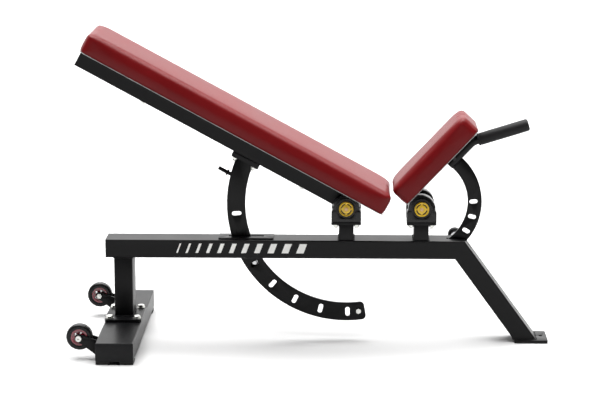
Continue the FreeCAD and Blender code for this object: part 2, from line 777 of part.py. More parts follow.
def make_balls(pivot, side):
    balls = []
    for number in range(9):
        turn = f"{number} * 40"
        balls.append(ball(f"{pivot} + ball_ring * cos({turn})", f"{side} * block_side",
                          f"pivot_z + ball_ring * sin({turn})", "ball_dia"))
    return balls


def make_bearing_cap(pivot, side):
    """Dished end cap: raised rim, ring of slots and a small centre boss."""
    body = new_body("BearingCap")
    rim = "cap_dia / 2"
    step = [("0", "0"), (rim, "0"), (rim, "cap_out - 1"), (f"{rim} - 1", "cap_out"),
            (f"{rim} - 3", "cap_out"), (f"{rim} - 4", "cap_out - 3"), (f"{rim} - 8", "cap_out - 3"),
            (f"{rim} - 9", "cap_out - 0.5"), ("5", "cap_out - 0.5"), ("4", "cap_out + 1"), ("0", "cap_out + 1")]
    revolve(body, step, "XY_Plane", "Y_Axis")
    spigot = outline(body, "XZ_Plane", circles=[("0", "0", "cap_dia")])
    pad(body, spigot, "4", "One side", False)
    hollow = outline(body, "XZ_Plane", circles=[("0", "0", "shaft_dia + 4")], lift="5")
    pocket(body, hollow, "6", "One side", False)
    body.Placement = FreeCAD.Placement(FreeCAD.Vector(), FreeCAD.Rotation(FreeCAD.Vector(0, 0, 1), 90 - 90 * side))
    bind(body, **{"Placement.Base.x": pivot, "Placement.Base.z": "pivot_z"})
    return bind(body, **{"Placement.Base.y": f"{side} * (block_face + 0.5)"})


# ---------------------------------------------------------------- latches

def make_latches():
    springs = []
    latches = [("back", "back_pin_x", "back_pin_z", "latch_plate_far", "latch_plate_thick + 1"),
               ("seat", "seat_pin_x", "seat_pin_z", "rail_wide / 2", "rail_wide / 2 - 14")]
    for name, x, z, wall, nose in latches:
        outside = rod(x, wall, z, "barrel_dia", "barrel_long", "Y")
        inside = rod(x, wall, z, "nose_dia", nose, "-Y")
        guide = rod(x, f"{wall} - ({nose}) - 1", z, "pin_dia + 2 * fit_gap", f"({nose}) + barrel_long + 2", "Y")
        chamber = rod(x, f"{wall} + chamber_start", z, "chamber_dia", "chamber_end - chamber_start", "Y")
        node(f"{name}_latch_barrel", cut(fuse(outside, inside), guide, chamber))
        springs.append(make_spring(x, f"{wall} + chamber_end - 5.4", z))
        make_pin(name, x, z, wall)
    node("latch_springs", group(springs))

    bracket = new_body("LatchBracket")
    half = "latch_plate_wide / 2"
    shape = rectangle("-" + half, "0", half, "rail_bottom - back_pin_z")
    pad(bracket, outline(bracket, "XZ_Plane", [shape]), "latch_plate_thick", "One side", True)
    eye = outline(bracket, "XZ_Plane", circles=[("0", "0", "latch_plate_wide")])
    pad(bracket, eye, "latch_plate_thick", "One side", True)
    pocket(bracket, outline(bracket, "XZ_Plane", circles=[("0", "0", "nose_dia")]), "4 * latch_plate_thick")
    at(bracket, "back_pin_x", "latch_plate_near", "back_pin_z")
    node("back_latch_bracket", bracket)


def make_spring(x, y, z):
    helix = doc.addObject("Part::Helix", "SpringPath")
    bind(helix, Pitch="spring_pitch", Height="spring_pitch * 2.5", Radius="(chamber_dia - spring_wire) / 2 - 0.6")
    wire = doc.addObject("Part::RegularPolygon", "SpringWire")
    wire.Polygon = 4
    bind(wire, Circumradius="spring_wire / sqrt(2)")
    square = FreeCAD.Rotation(FreeCAD.Vector(1, 0, 0), 90) * FreeCAD.Rotation(FreeCAD.Vector(0, 0, 1), 45)
    wire.Placement = FreeCAD.Placement(FreeCAD.Vector(), square)
    wire.setExpression("Placement.Base.x", link("(chamber_dia - spring_wire) / 2 - 0.6"))
    coil = doc.addObject("Part::Sweep", "Spring")
    coil.Sections = [wire]
    coil.Spine = helix
    coil.Solid = True
    coil.Frenet = True
    return at(coil, x, y, z, "Y")


def make_pin(name, x, z, wall):
    reach = f"{wall} - pin_tip + barrel_long + knob_gap"
    shank = rod(x, "pin_tip", z, "pin_dia", f"{reach} + knob_long - 6", "Y")
    collar = rod(x, f"{wall} + collar_at", z, "collar_dia", "collar_thick", "Y")
    node(f"{name}_latch_pin", fuse(shank, collar))

    knob = new_body("Knob")
    grip = "knob_dia / 2"
    section = [("0", "0"), ("9", "0"), (f"{grip} - 3", "5"), (grip, "9"), (grip, "knob_long - 6"),
               (f"{grip} - 2", "knob_long - 2"), (f"{grip} - 7", "knob_long"), ("0", "knob_long")]
    revolve(knob, section, "XY_Plane", "Y_Axis")
    socket = outline(knob, "XZ_Plane", circles=[("0", "0", "pin_dia")])
    pocket(knob, socket, "knob_long - 6", "One side", False)
    at(knob, x, f"{wall} + barrel_long + knob_gap", z)
    node(f"{name}_latch_knob", knob)


# ---------------------------------------------------------------- back rest

def make_pad(name, part, rear, front, wide, thick, low):
    """Upholstered pad with a recess underneath for its plywood board."""
    cushion = new_body("Cushion")
    half = f"{wide} / 2"
    plan = outline(cushion, "XY_Plane", [rectangle(rear, f"-{half}", front, half)], lift=low)
    pad(cushion, plan, thick, "One side")
    fillet(cushion, "pad_corner", along(FreeCAD.Vector(0, 0, 1)))
    top = places.get(low) if low in PLACES else sizes.get(low)
    top += sizes.get(thick)
    fillet(cushion, "pad_edge", lambda edge: min(vertex.Z for vertex in edge.Vertexes) > top - 1e-3)
    board_edge = trimmed(f"{rear} + board_inset", f"-{half} + board_inset",
                         f"{front} - board_inset", f"{half} - board_inset", "board_corner")
    recess = outline(cushion, "XY_Plane", [board_edge], lift=low)
    pocket(cushion, recess, "board_thick", "One side", True)
    node(f"{name}_pad", cushion, part)

    board = new_body("Board")
    pad(board, outline(board, "XY_Plane", [board_edge], lift=low), "board_thick", "One side")
    return board


def make_back_rest():
    beam = new_body("BackBeam")
    low, high = "-back_beam_drop", "back_beam_top"
    outer = rectangle("-back_beam_rear", low, "back_beam_front", high)
    pad(beam, outline(beam, "XZ_Plane", [outer]), "beam_wide")
    fillet(beam, "tube_wall", long_edges("beam_wide", FreeCAD.Vector(1, 0, 0)))
    inner = rectangle("-back_beam_rear - 5", f"{low} + tube_wall", "back_beam_front + 5", f"{high} - tube_wall")
    pocket(beam, outline(beam, "XZ_Plane", [inner]), "beam_wide - 2 * tube_wall")
    pocket(beam, outline(beam, "XZ_Plane", circles=[("0", "0", "back_hub_dia")]), "beam_wide + 10")
    bolt_holes = [(f"-{spot}", "0", "pad_bolt_dia + fit_gap") for spot in ("back_bolt_near", "back_bolt_far")]
    from_above = outline(beam, "XY_Plane", circles=bolt_holes, lift=high + " + 1")
    pocket(beam, from_above, "back_beam_deep + 2", "One side")
    arc_holes = [(x, y, "stop_bolt_dia + fit_gap") for x, y in mount_bolt_places()]
    from_below = outline(beam, "XY_Plane", circles=arc_holes, lift=low + " - 1")
    pocket(beam, from_below, "tube_wall + 2", "One side", True)
    node("back_beam", beam, "back")

    plug = box("-back_beam_rear", "-beam_wide / 2 + tube_wall", f"{low} + tube_wall",
               "cap_plug", "beam_wide - 2 * tube_wall", "back_beam_deep - 2 * tube_wall")
    flange = box("-back_beam_rear - 2", "-beam_wide / 2", low, "2", "beam_wide", "back_beam_deep")
    nose = box("back_beam_front - cap_plug / 2", "-beam_wide / 2 + tube_wall", f"{low} + tube_wall",
               "cap_plug / 2", "beam_wide - 2 * tube_wall", "back_beam_deep - 2 * tube_wall")
    nose_face = box("back_beam_front", "-beam_wide / 2", low, "2", "beam_wide", "back_beam_deep")
    hub_room = rod("0", "-beam_wide", "0", "back_hub_dia + fit_gap", "2 * beam_wide", "Y")
    node("back_beam_caps", group([fuse(flange, plug), cut(fuse(nose_face, nose), hub_room)]), "back")

    make_pivot_set("back", "back_hub_dia", None)

    beam_plate = box("-mount_mid - mount_plate_long / 2", "-beam_wide / 2", f"{low} - mount_plate_beam",
                     "mount_plate_long", "beam_wide", "mount_plate_beam")
    arc_plate = box("-mount_mid - mount_plate_long / 2", "-beam_wide / 2", "-mount_drop",
                    "mount_plate_long", "beam_wide", "mount_plate_arc")
    bolts = []
    stack = "mount_plate_beam + mount_plate_arc + tube_wall + 8"
    for x, y in mount_bolt_places():
        bolts.append(bolt(x, y, "-mount_drop", "stop_bolt_dia", stack, "-Z"))
        drill = rod(x, y, "-mount_drop - 1", "stop_bolt_dia", "mount_plate_beam + mount_plate_arc + 2")
        beam_plate = cut(beam_plate, drill)
        arc_plate = cut(arc_plate, drill)
    node("arc_mount_plates", group([beam_plate, arc_plate]), "back")
    node("arc_bolts", group(bolts), "back")

    make_back_arc()

    peg_start = "-sqrt(back_arc_out ^ 2 - peg_drop ^ 2) + 3"
    peg = at(doc.addObject("Part::Cylinder", "Peg"), peg_start, "0", "-peg_drop", "X")
    bind(peg, Radius="peg_dia / 2", Height="peg_long")
    peg.setExpression("Placement.Base.x", link(f"{peg_start} - peg_long"))
    collar = at(doc.addObject("Part::Cylinder", "PegCollar"), peg_start, "0", "-peg_drop", "X")
    bind(collar, Radius="0.8 * peg_dia", Height="5")
    collar.setExpression("Placement.Base.x", link(f"{peg_start} - peg_dia - 5"))
    arc_room = rod("0", "-20", "0", "2 * back_arc_out", "40", "Y")
    node("rest_stop_peg", cut(fuse(peg, collar), arc_room), "back")

    board = make_pad("back", "back", "-back_pad_rear", "back_pad_front", "back_pad_wide",
                     "back_pad_thick", "back_beam_top")
    drill_board(board, "back", [("-back_bolt_near", "0"), ("-back_bolt_far", "0")],
                "back_beam_top", "-back_beam_drop", "back_beam_deep")


def mount_bolt_places():
    spots = []
    for fore in (-1, 1):
        for side in (-1, 1):
            spots.append((f"-mount_mid + {fore} * mount_bolt_pitch / 2", f"{side} * mount_bolt_side"))
    return spots


def drill_board(board, name, spots, low, head, grip):
    holes = [(x, y, "pad_bolt_dia") for x, y in spots]
    sketch = outline(board, "XY_Plane", circles=holes, lift=low)
    pocket(board, sketch, "board_thick - 2", "One side", True)
    node(f"{name}_pad_board", board, name)
    bolts = [bolt(x, y, head, "pad_bolt_dia", f"{grip} + board_thick - 2", "-Z") for x, y in spots]
    node(f"{name}_pad_bolts", group(bolts), name)


def make_pivot_set(name, hub_dia, saddle):
    """Hub tube, shaft and the two inner bearing rings of one pivot."""
    hub = rod("0", "-beam_wide / 2 - 0.5", "0", hub_dia, "beam_wide + 1", "Y")
    if saddle:
        hub = fuse(hub, saddle)
    bore = rod("0", "-beam_wide", "0", "shaft_dia", "2 * beam_wide", "Y")
    node(f"{name}_hub", cut(hub, bore), name)
    shaft = rod("0", "-shaft_half", "0", "shaft_dia", "2 * shaft_half", "Y")
    node(f"{name}_shaft", group([shaft]), name)
    rings = [make_race(side, "shaft_dia", "race_in") for side in (-1, 1)]
    node(f"{name}_inner_rings", group(rings), name)


def add_slots(body, first, radius, length, step, count):
    """Latch slots with round ends, spread along the arc about the pivot."""
    half = f"({length} - slot_high) / 2"
    corners = []
    for along_slot, across in ((-1, -1), (1, -1), (1, 1), (-1, 1)):
        reach = f"({radius} + {along_slot} * {half})"
        aside = f"({across} * slot_high / 2)"
        corners.append((f"{reach} * cos({first}) - {aside} * sin({first})",
                        f"{reach} * sin({first}) + {aside} * cos({first})"))
    flat = pocket(body, outline(body, "XZ_Plane", [corners]), "2 * arc_thick")
    ends = []
    for along_slot in (-1, 1):
        reach = f"({radius} + {along_slot} * {half})"
        ends.append((f"{reach} * cos({first})", f"{reach} * sin({first})", "slot_high"))
    rounds = pocket(body, outline(body, "XZ_Plane", circles=ends), "2 * arc_thick")
    pattern = body.newObject("PartDesign::PolarPattern", "Slots")
    pattern.Originals = [flat, rounds]
    pattern.Axis = (origin_feature(body, "Y_Axis"), [""])
    pattern.Occurrences = count
    bind(pattern, Angle=f"{count - 1} * {step}")
    body.Tip = pattern


def make_back_arc():
    """Slotted plate, concentric with the pivot, hanging from the beam."""
    body = new_body("BackArc")
    rings = [("0", "0", "2 * back_arc_out"), ("0", "0", "2 * back_arc_in")]
    pad(body, outline(body, "XZ_Plane", circles=rings), "arc_thick")
    far = "2 * back_arc_out"
    end = "back_arc_end"
    spare = [(f"-{far}", "-mount_drop"), (f"-mount_drop / tan({end})", "-mount_drop"),
             (f"{far} * cos({end})", f"{far} * sin({end})"), (f"{far} * 1.2", f"{far} * sin({end})"),
             (f"{far} * 1.2", far), (f"-{far}", far)]
    pocket(body, outline(body, "XZ_Plane", [spare]), "2 * arc_thick")
    straight = along(Y_AXIS)
    limit = -places.get("mount_drop") - 60
    fillet(body, "12", lambda edge: straight(edge) and edge.Vertexes[0].Z < limit)
    add_slots(body, "back_slot_first", "back_arc_radius", "back_slot_long", "back_slot_step", 7)
    stop = "(back_arc_end - 3.4)"
    hole = [(f"back_arc_radius * cos{stop}", f"back_arc_radius * sin{stop}", "stop_bolt_dia")]
    pocket(body, outline(body, "XZ_Plane", circles=hole), "2 * arc_thick")
    node("back_arc", body, "back")

    x, z = f"back_arc_radius * cos{stop}", f"back_arc_radius * sin{stop}"
    screw = bolt(x, "-arc_thick / 2", z, "stop_bolt_dia", "arc_thick + stop_bolt_dia", "-Y")
    nut = hexagon(x, "arc_thick / 2", z, "1.6 * stop_bolt_dia", "0.8 * stop_bolt_dia", "Y")
    thread = rod(x, "-arc_thick", z, "stop_bolt_dia", "4 * arc_thick", "Y")
    node("arc_stop_bolt", group([screw, cut(nut, thread)]), "back")


# ---------------------------------------------------------------- seat

def make_seat():
    beam = new_body("SeatBeam")
    low, high = "seat_beam_low", "seat_pad_drop"
    outer = rectangle("-seat_pad_rear + 8", low, "seat_pad_front - 14", high)
    pad(beam, outline(beam, "XZ_Plane", [outer]), "beam_wide")
    fillet(beam, "2", long_edges("beam_wide", FreeCAD.Vector(1, 0, 0)))
    inner = rectangle("-seat_pad_rear", f"{low} + 2", "seat_pad_front", f"{high} - 2")
    pocket(beam, outline(beam, "XZ_Plane", [inner]), "beam_wide - 4")
    spots = [("seat_bolt_near", "0"), ("seat_bolt_far", "0")]
    holes = [(x, y, "pad_bolt_dia + fit_gap") for x, y in spots]
    pocket(beam, outline(beam, "XY_Plane", circles=holes, lift=high + " + 1"), "seat_beam_deep + 2", "One side")
    node("seat_beam", beam, "seat")

    saddle = box("-seat_hub_dia / 2 + 8", "-beam_wide / 2 + 2", "0", "seat_hub_dia - 16", "beam_wide - 4", low)
    make_pivot_set("seat", "seat_hub_dia", saddle)

    board = make_pad("seat", "seat", "-seat_pad_rear", "seat_pad_front", "seat_pad_wide",
                     "seat_pad_thick", "seat_pad_drop")
    drill_board(board, "seat", spots, high, low, "seat_beam_deep")
    make_seat_arc()
    make_handle()


def make_seat_arc():
    body = new_body("SeatArc")
    rings = [("arc_mid_x", "arc_mid_z", "2 * seat_arc_out"), ("arc_mid_x", "arc_mid_z", "2 * seat_arc_in")]
    pad(body, outline(body, "XZ_Plane", circles=rings), "arc_thick")
    far = "2 * seat_arc_out"
    end = "seat_arc_end"
    weld = "(handle_axis - handle_dia / 2)"
    spare = [(f"{weld} / tan({end})", weld), (f"{far} * cos({end})", f"{far} * sin({end})"),
             (f"-{far}", f"{far} * sin({end})"), (f"-{far}", far), (far, far), (far, weld)]
    pocket(body, outline(body, "XZ_Plane", [spare]), "2 * arc_thick")
    straight = along(Y_AXIS)
    fillet(body, "8", lambda edge: straight(edge) and edge.Vertexes[0].X < 0)
    add_slots(body, "seat_slot_first", "seat_arc_radius", "seat_slot_long", "seat_slot_step", 4)
    node("seat_arc", body, "seat")


def make_handle():
    """Bent tube under the seat beam, with a rubber grip on its free end."""
    body = new_body("HandleTube")
    path = new_sketch(body, "XZ_Plane")
    bend = math.radians(sizes.get("handle_bend_down"))
    corner = FreeCAD.Vector(sizes.get("handle_bend_at"), places.get("handle_axis"), 0)
    run = sizes.get("handle_bend_radius") * math.tan(bend / 2)
    ahead = FreeCAD.Vector(math.cos(bend), -math.sin(bend), 0)
    start = FreeCAD.Vector(sizes.get("handle_start"), corner.y, 0)
    near = corner - FreeCAD.Vector(run, 0, 0)
    far = corner + ahead * run
    hub = near - FreeCAD.Vector(0, sizes.get("handle_bend_radius"), 0)
    end = corner + ahead * (sizes.get("handle_reach") - sizes.get("grip_end"))
    circle = Part.Circle(hub, FreeCAD.Vector(0, 0, 1), sizes.get("handle_bend_radius"))
    path.addGeometry(Part.LineSegment(start, near), False)
    path.addGeometry(Part.ArcOfCircle(circle, math.pi / 2 - bend, math.pi / 2), False)
    path.addGeometry(Part.LineSegment(far, end), False)
    path.addConstraint(Sketcher.Constraint("Tangent", 0, 2, 1, 2))
    path.addConstraint(Sketcher.Constraint("Tangent", 1, 1, 2, 1))
    fix(path, 0, 1, "handle_start", "handle_axis", start)
    path.addConstraint(Sketcher.Constraint("Horizontal", 0))
    for kind, formula, value in (
            ("Radius", "handle_bend_radius", sizes.get("handle_bend_radius")),
            ("DistanceX", "handle_bend_at - handle_bend_radius * tan(handle_bend_down / 2)", near.x)):
        if kind == "Radius":
            number = path.addConstraint(Sketcher.Constraint(kind, 1, value))
        else:
            number = path.addConstraint(Sketcher.Constraint(kind, -1, 1, 0, 2, value))
        path.setExpression(f"Constraints[{number}]", link(formula))
    reach = "(handle_reach - grip_end)"
    fix(path, 2, 2, f"handle_bend_at + {reach} * cos(handle_bend_down)",
        f"handle_axis - {reach} * sin(handle_bend_down)", end)
    rings = outline(body, "YZ_Plane", circles=[
        ("0", "handle_axis", "handle_dia"), ("0", "handle_axis", "handle_dia - 2 * handle_wall")],
        lift="handle_start")
    pipe = body.newObject("PartDesign::AdditivePipe", "Pipe")
    pipe.Profile = rings
    pipe.Spine = (path, [])
    node("handle_tube", body, "seat")

    grip = new_body("Grip")
    bore = "handle_dia / 2"
    skin = "grip_dia / 2"
    section = [(bore, "0"), (skin, "0"), (skin, "grip_long - 6"), (f"{skin} - 2", "grip_long - 2"),
               (f"{skin} - 6", "grip_long"), ("0", "grip_long"), ("0", "grip_long - grip_end"),
               (bore, "grip_long - grip_end")]
    revolve(grip, section)
    grip.Placement = FreeCAD.Placement(FreeCAD.Vector(), FreeCAD.Rotation(Y_AXIS, 90))
    begin = "(handle_reach - grip_long)"
    bind(grip, **{"Placement.Base.x": f"handle_bend_at + {begin} * cos(handle_bend_down)",
                  "Placement.Base.z": f"handle_axis - {begin} * sin(handle_bend_down)",
                  "Placement.Rotation.Angle": "90 + handle_bend_down"})
    node("handle_grip", group([grip]), "seat")

    head = rod("handle_start + 23", "-handle_dia / 2 + 0.5", "handle_axis + 3", "9", "3", "-Y")
    shank = rod("handle_start + 23", "-handle_dia / 2 + handle_wall", "handle_axis + 3", "5", "handle_wall", "-Y")
    tube_room = rod("handle_start", "0", "handle_axis", "handle_dia", "60", "X")
    node("handle_screw", group([cut(fuse(head, shank), tube_room)]), "seat")


make_rear_foot()
make_wheels()
make_rail()
make_front_leg()
make_pivots()
make_latches()
make_back_rest()
make_seat()
doc.recompute()

broken = [o.Name for o in doc.Objects if "Invalid" in o.State or "Error" in o.State]
if broken:
    raise RuntimeError(f"objects that failed: {broken}")
for name, piece in NODES.items():
    if piece.Shape.isNull() or not piece.Shape.isValid() or not piece.Shape.Solids:
        raise RuntimeError(f"{name} has no valid solid")

os.makedirs("parts", exist_ok=True)
for name, piece in NODES.items():
    piece.Shape.exportStep(f"parts/{name}.step")
print(f"{len(NODES)} nodes written")
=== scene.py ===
import bmesh
import bpy
import json
import math
from mathutils import Matrix, Vector

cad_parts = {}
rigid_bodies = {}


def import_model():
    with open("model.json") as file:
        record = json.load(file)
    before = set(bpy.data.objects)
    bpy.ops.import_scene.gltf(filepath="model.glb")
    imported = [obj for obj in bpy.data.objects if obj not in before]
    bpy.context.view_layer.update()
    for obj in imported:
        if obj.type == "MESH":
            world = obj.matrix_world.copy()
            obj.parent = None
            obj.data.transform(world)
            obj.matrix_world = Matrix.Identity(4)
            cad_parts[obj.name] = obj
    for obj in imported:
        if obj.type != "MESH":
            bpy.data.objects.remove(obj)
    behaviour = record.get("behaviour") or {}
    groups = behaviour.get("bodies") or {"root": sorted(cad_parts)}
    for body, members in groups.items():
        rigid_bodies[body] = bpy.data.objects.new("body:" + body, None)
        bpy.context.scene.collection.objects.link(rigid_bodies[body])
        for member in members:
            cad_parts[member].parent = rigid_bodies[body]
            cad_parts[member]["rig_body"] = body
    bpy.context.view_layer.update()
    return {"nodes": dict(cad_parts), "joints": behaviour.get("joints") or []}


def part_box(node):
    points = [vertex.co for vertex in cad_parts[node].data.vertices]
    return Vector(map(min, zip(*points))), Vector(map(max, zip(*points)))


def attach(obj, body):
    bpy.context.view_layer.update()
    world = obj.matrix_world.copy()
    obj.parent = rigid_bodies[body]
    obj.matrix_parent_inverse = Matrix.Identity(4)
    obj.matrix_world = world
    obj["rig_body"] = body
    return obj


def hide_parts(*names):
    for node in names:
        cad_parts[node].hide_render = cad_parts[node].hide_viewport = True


# Adjustable weight bench: coated steel frame, two vinyl pads, cast bearing blocks.
# Lengths are metres, +X is the foot end, +Z is up.

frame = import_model()
nodes = frame["nodes"]
scene = bpy.context.scene
mm = 0.001
joints = {joint["name"]: joint for joint in frame["joints"]}
backPivot = Vector(joints["backrest_hinge"]["pos_m"])
seatPivot = Vector(joints["seat_hinge"]["pos_m"])
backTilt, seatTilt = math.radians(28.6), math.radians(46.8)
backPlace = Matrix.Translation(backPivot) @ Matrix.Rotation(backTilt, 4, "Y")
seatPlace = Matrix.Translation(seatPivot) @ Matrix.Rotation(-seatTilt, 4, "Y")
print("frame loaded:", len(nodes), "nodes")


# small helpers

def linear(code):  # sRGB hex to the linear colour that shaders take
    out = []
    for place in (1, 3, 5):
        part = int(code[place:place + 2], 16) / 255
        out.append(part / 12.92 if part <= 0.04045 else ((part + 0.055) / 1.055) ** 2.4)
    return (*out, 1.0)


def addNode(tree, kind, values=None, links=None, **settings):
    made = tree.nodes.new(kind)
    for key, value in settings.items():
        setattr(made, key, value)
    for key, value in (values or {}).items():
        made.inputs[key].default_value = value
    for key, source in (links or {}).items():
        tree.links.new(source, made.inputs[key])
    return made


def maths(tree, operation, *terms):  # each term is a socket or a plain number
    made = addNode(tree, "ShaderNodeMath", operation=operation)
    for place, term in enumerate(terms):
        if isinstance(term, (int, float)):
            made.inputs[place].default_value = term
        else:
            tree.links.new(term, made.inputs[place])
    return made.outputs[0]


def box(name):
    low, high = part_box(name)
    return Vector(low), Vector(high)


def meshOf(name, points, faces):
    mesh = bpy.data.meshes.new(name)
    mesh.from_pydata([tuple(p) for p in points], [], faces)
    mesh.validate()
    return mesh


def pieceOf(name, mesh, *materials):
    piece = bpy.data.objects.new(name, mesh)
    scene.collection.objects.link(piece)
    for material in materials:
        mesh.materials.append(material)
    return piece


def freeze(piece, corner=35):  # the modifiers' result becomes the piece's plain mesh
    depsgraph = bpy.context.evaluated_depsgraph_get()
    mesh = bpy.data.meshes.new_from_object(piece.evaluated_get(depsgraph))
    piece.modifiers.clear()
    piece.data = mesh
    shade(mesh, corner)
    return piece


def shade(mesh, corner=35):
    mesh.polygons.foreach_set("use_smooth", [True] * len(mesh.polygons))
    mesh.set_sharp_from_angle(angle=math.radians(corner))


def tidyMesh(mesh, gap=1e-6):  # merged doubles, outward faces
    shell = bmesh.new()
    shell.from_mesh(mesh)
    bmesh.ops.remove_doubles(shell, verts=shell.verts, dist=gap)
    bmesh.ops.recalc_face_normals(shell, faces=shell.faces)
    shell.to_mesh(mesh)
    shell.free()
    return mesh


def stand(piece, body, slot, *replaced):
    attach(piece, body)
    if replaced:
        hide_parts(*replaced)
    return piece


# materials

def newMaterial(name, colour, roughness, metallic=0.0, **more):
    material = bpy.data.materials.new(name)
    material.use_nodes = True
    tree = material.node_tree
    shader = tree.nodes["Principled BSDF"]
    shader.inputs["Base Color"].default_value = linear(colour)
    shader.inputs["Roughness"].default_value = roughness
    shader.inputs["Metallic"].default_value = metallic
    for key, value in more.items():
        shader.inputs[key.replace("_", " ")].default_value = value
    place = addNode(tree, "ShaderNodeTexCoord").outputs["Object"]
    return material, tree, shader, place


def mottle(tree, shader, place, low, high, size, smooth, rough):
    # colour and roughness drift together over patches of the given size in metres
    noise = addNode(tree, "ShaderNodeTexNoise",
                    {"Scale": 1 / size, "Detail": 4.0, "Roughness": 0.6}, {"Vector": place})
    blend = addNode(tree, "ShaderNodeMix", {6: linear(low), 7: linear(high)},
                    {0: noise.outputs["Fac"]}, data_type="RGBA")
    tree.links.new(blend.outputs[2], shader.inputs["Base Color"])
    drift = addNode(tree, "ShaderNodeMapRange", {"To Min": smooth, "To Max": rough},
                    {"Value": noise.outputs["Fac"]})
    tree.links.new(drift.outputs["Result"], shader.inputs["Roughness"])
    return noise


def bump(tree, shader, height, strength, distance):
    relief = addNode(tree, "ShaderNodeBump", {"Strength": strength, "Distance": distance},
                     {"Height": height})
    tree.links.new(relief.outputs["Normal"], shader.inputs["Normal"])


def powderCoat():
    # polyester powder coat, baked: satin black, orange peel about 2 mm apart
    material, tree, shader, place = newMaterial("satinPowderCoat", "#0D0D0E", 0.36, IOR=1.5,
                                                Specular_IOR_Level=0.15)
    mottle(tree, shader, place, "#080809", "#0D0D0E", 0.09, 0.31, 0.41)
    peel = addNode(tree, "ShaderNodeTexNoise", {"Scale": 500.0, "Detail": 2.0}, {"Vector": place})
    bump(tree, shader, peel.outputs["Fac"], 0.22, 0.3 * mm)
    return material


def castEnamel():
    # sand-cast iron under black gloss enamel: soft 3 mm lumps below a wet-looking film
    material, tree, shader, place = newMaterial(
        "castEnamel", "#0C0C0D", 0.26, IOR=1.5, Specular_IOR_Level=0.22,
        Coat_Weight=0.15, Coat_Roughness=0.12)
    mottle(tree, shader, place, "#050505", "#0B0B0C", 0.02, 0.2, 0.34)
    lumps = addNode(tree, "ShaderNodeTexNoise", {"Scale": 330.0, "Detail": 3.0}, {"Vector": place})
    bump(tree, shader, lumps.outputs["Fac"], 0.4, 0.5 * mm)
    return material


def mouldedPlastic():
    # injection-moulded black polypropylene with a spark-eroded grain, 0.8 mm
    material, tree, shader, place = newMaterial("mouldedPolypropylene", "#111112", 0.48, IOR=1.49,
                                                Specular_IOR_Level=0.2)
    mottle(tree, shader, place, "#0D0D0E", "#151517", 0.03, 0.42, 0.55)
    grain = addNode(tree, "ShaderNodeTexVoronoi", {"Scale": 1250.0}, {"Vector": place})
    bump(tree, shader, grain.outputs["Distance"], 0.25, 0.15 * mm)
    return material


def mouldedRubber():
    # black natural rubber feet, matt and a little dusty
    material, tree, shader, place = newMaterial("mouldedRubber", "#141414", 0.75, IOR=1.52)
    mottle(tree, shader, place, "#101010", "#242322", 0.015, 0.65, 0.85)
    grain = addNode(tree, "ShaderNodeTexNoise", {"Scale": 900.0, "Detail": 2.0}, {"Vector": place})
    bump(tree, shader, grain.outputs["Fac"], 0.3, 0.2 * mm)
    return material


def zincPlate():
    # electroplated zinc on steel: bright, faint blue-white cloudiness
    material, tree, shader, place = newMaterial("zincPlatedSteel", "#CFCFCA", 0.28, 1.0)
    mottle(tree, shader, place, "#BDBEBB", "#E2E2DC", 0.006, 0.2, 0.38)
    grain = addNode(tree, "ShaderNodeTexNoise", {"Scale": 1500.0}, {"Vector": place})
    bump(tree, shader, grain.outputs["Fac"], 0.15, 0.08 * mm)
    return material


def blackOxide():
    # chemically blackened steel screws, oily and low in shine
    material, tree, shader, place = newMaterial("blackOxideSteel", "#2B2B2D", 0.42, 0.85)
    mottle(tree, shader, place, "#232325", "#38383A", 0.004, 0.34, 0.5)
    return material


def groundSteel():
    # ground and oiled shaft steel: hair lines run round the Y axis
    material, tree, shader, place = newMaterial("groundSteel", "#B9BABC", 0.24, 1.0)
    squeeze = addNode(tree, "ShaderNodeMapping", {"Scale": (40.0, 2500.0, 40.0)}, {"Vector": place})
    lines = addNode(tree, "ShaderNodeTexNoise", {"Scale": 1.0, "Detail": 3.0},
                    {"Vector": squeeze.outputs["Vector"]})
    drift = addNode(tree, "ShaderNodeMapRange", {"To Min": 0.16, "To Max": 0.4},
                    {"Value": lines.outputs["Fac"]})
    tree.links.new(drift.outputs["Result"], shader.inputs["Roughness"])
    bump(tree, shader, lines.outputs["Fac"], 0.12, 0.05 * mm)
    return material


def yellowNylon():
    # moulded yellow nylon cap, semi-gloss, slightly darker in patches
    material, tree, shader, place = newMaterial("yellowNylon", "#D9B51C", 0.34, IOR=1.53)
    mottle(tree, shader, place, "#C29C0C", "#D8B61A", 0.008, 0.28, 0.42)
    grain = addNode(tree, "ShaderNodeTexNoise", {"Scale": 1100.0}, {"Vector": place})
    bump(tree, shader, grain.outputs["Fac"], 0.12, 0.1 * mm)
    return material


def plainPlastic(name, low, high, roughness):
    # small moulded parts in one colour with a slight mottle
    material, tree, shader, place = newMaterial(name, low, roughness, IOR=1.5)
    mottle(tree, shader, place, low, high, 0.005, roughness - 0.06, roughness + 0.08)
    return material


def urethaneTyre():
    # cast polyurethane tread, smooth and glossy with fine wear rings
    material, tree, shader, place = newMaterial("urethaneTyre", "#0C0C0D", 0.3, IOR=1.5,
                                                Specular_IOR_Level=0.22)
    mottle(tree, shader, place, "#080808", "#111112", 0.01, 0.2, 0.36)
    squeeze = addNode(tree, "ShaderNodeMapping", {"Scale": (60.0, 900.0, 60.0)}, {"Vector": place})
    rings = addNode(tree, "ShaderNodeTexNoise", {"Scale": 1.0}, {"Vector": squeeze.outputs["Vector"]})
    bump(tree, shader, rings.outputs["Fac"], 0.2, 0.1 * mm)
    return material


def redHub():
    # translucent red polycarbonate hub, glossy with a coat
    material, tree, shader, place = newMaterial("redPolycarbonate", "#A3143A", 0.16, IOR=1.58,
                                                Coat_Weight=0.5, Coat_Roughness=0.06)
    mottle(tree, shader, place, "#5E0618", "#8E0E2A", 0.006, 0.08, 0.2)
    return material


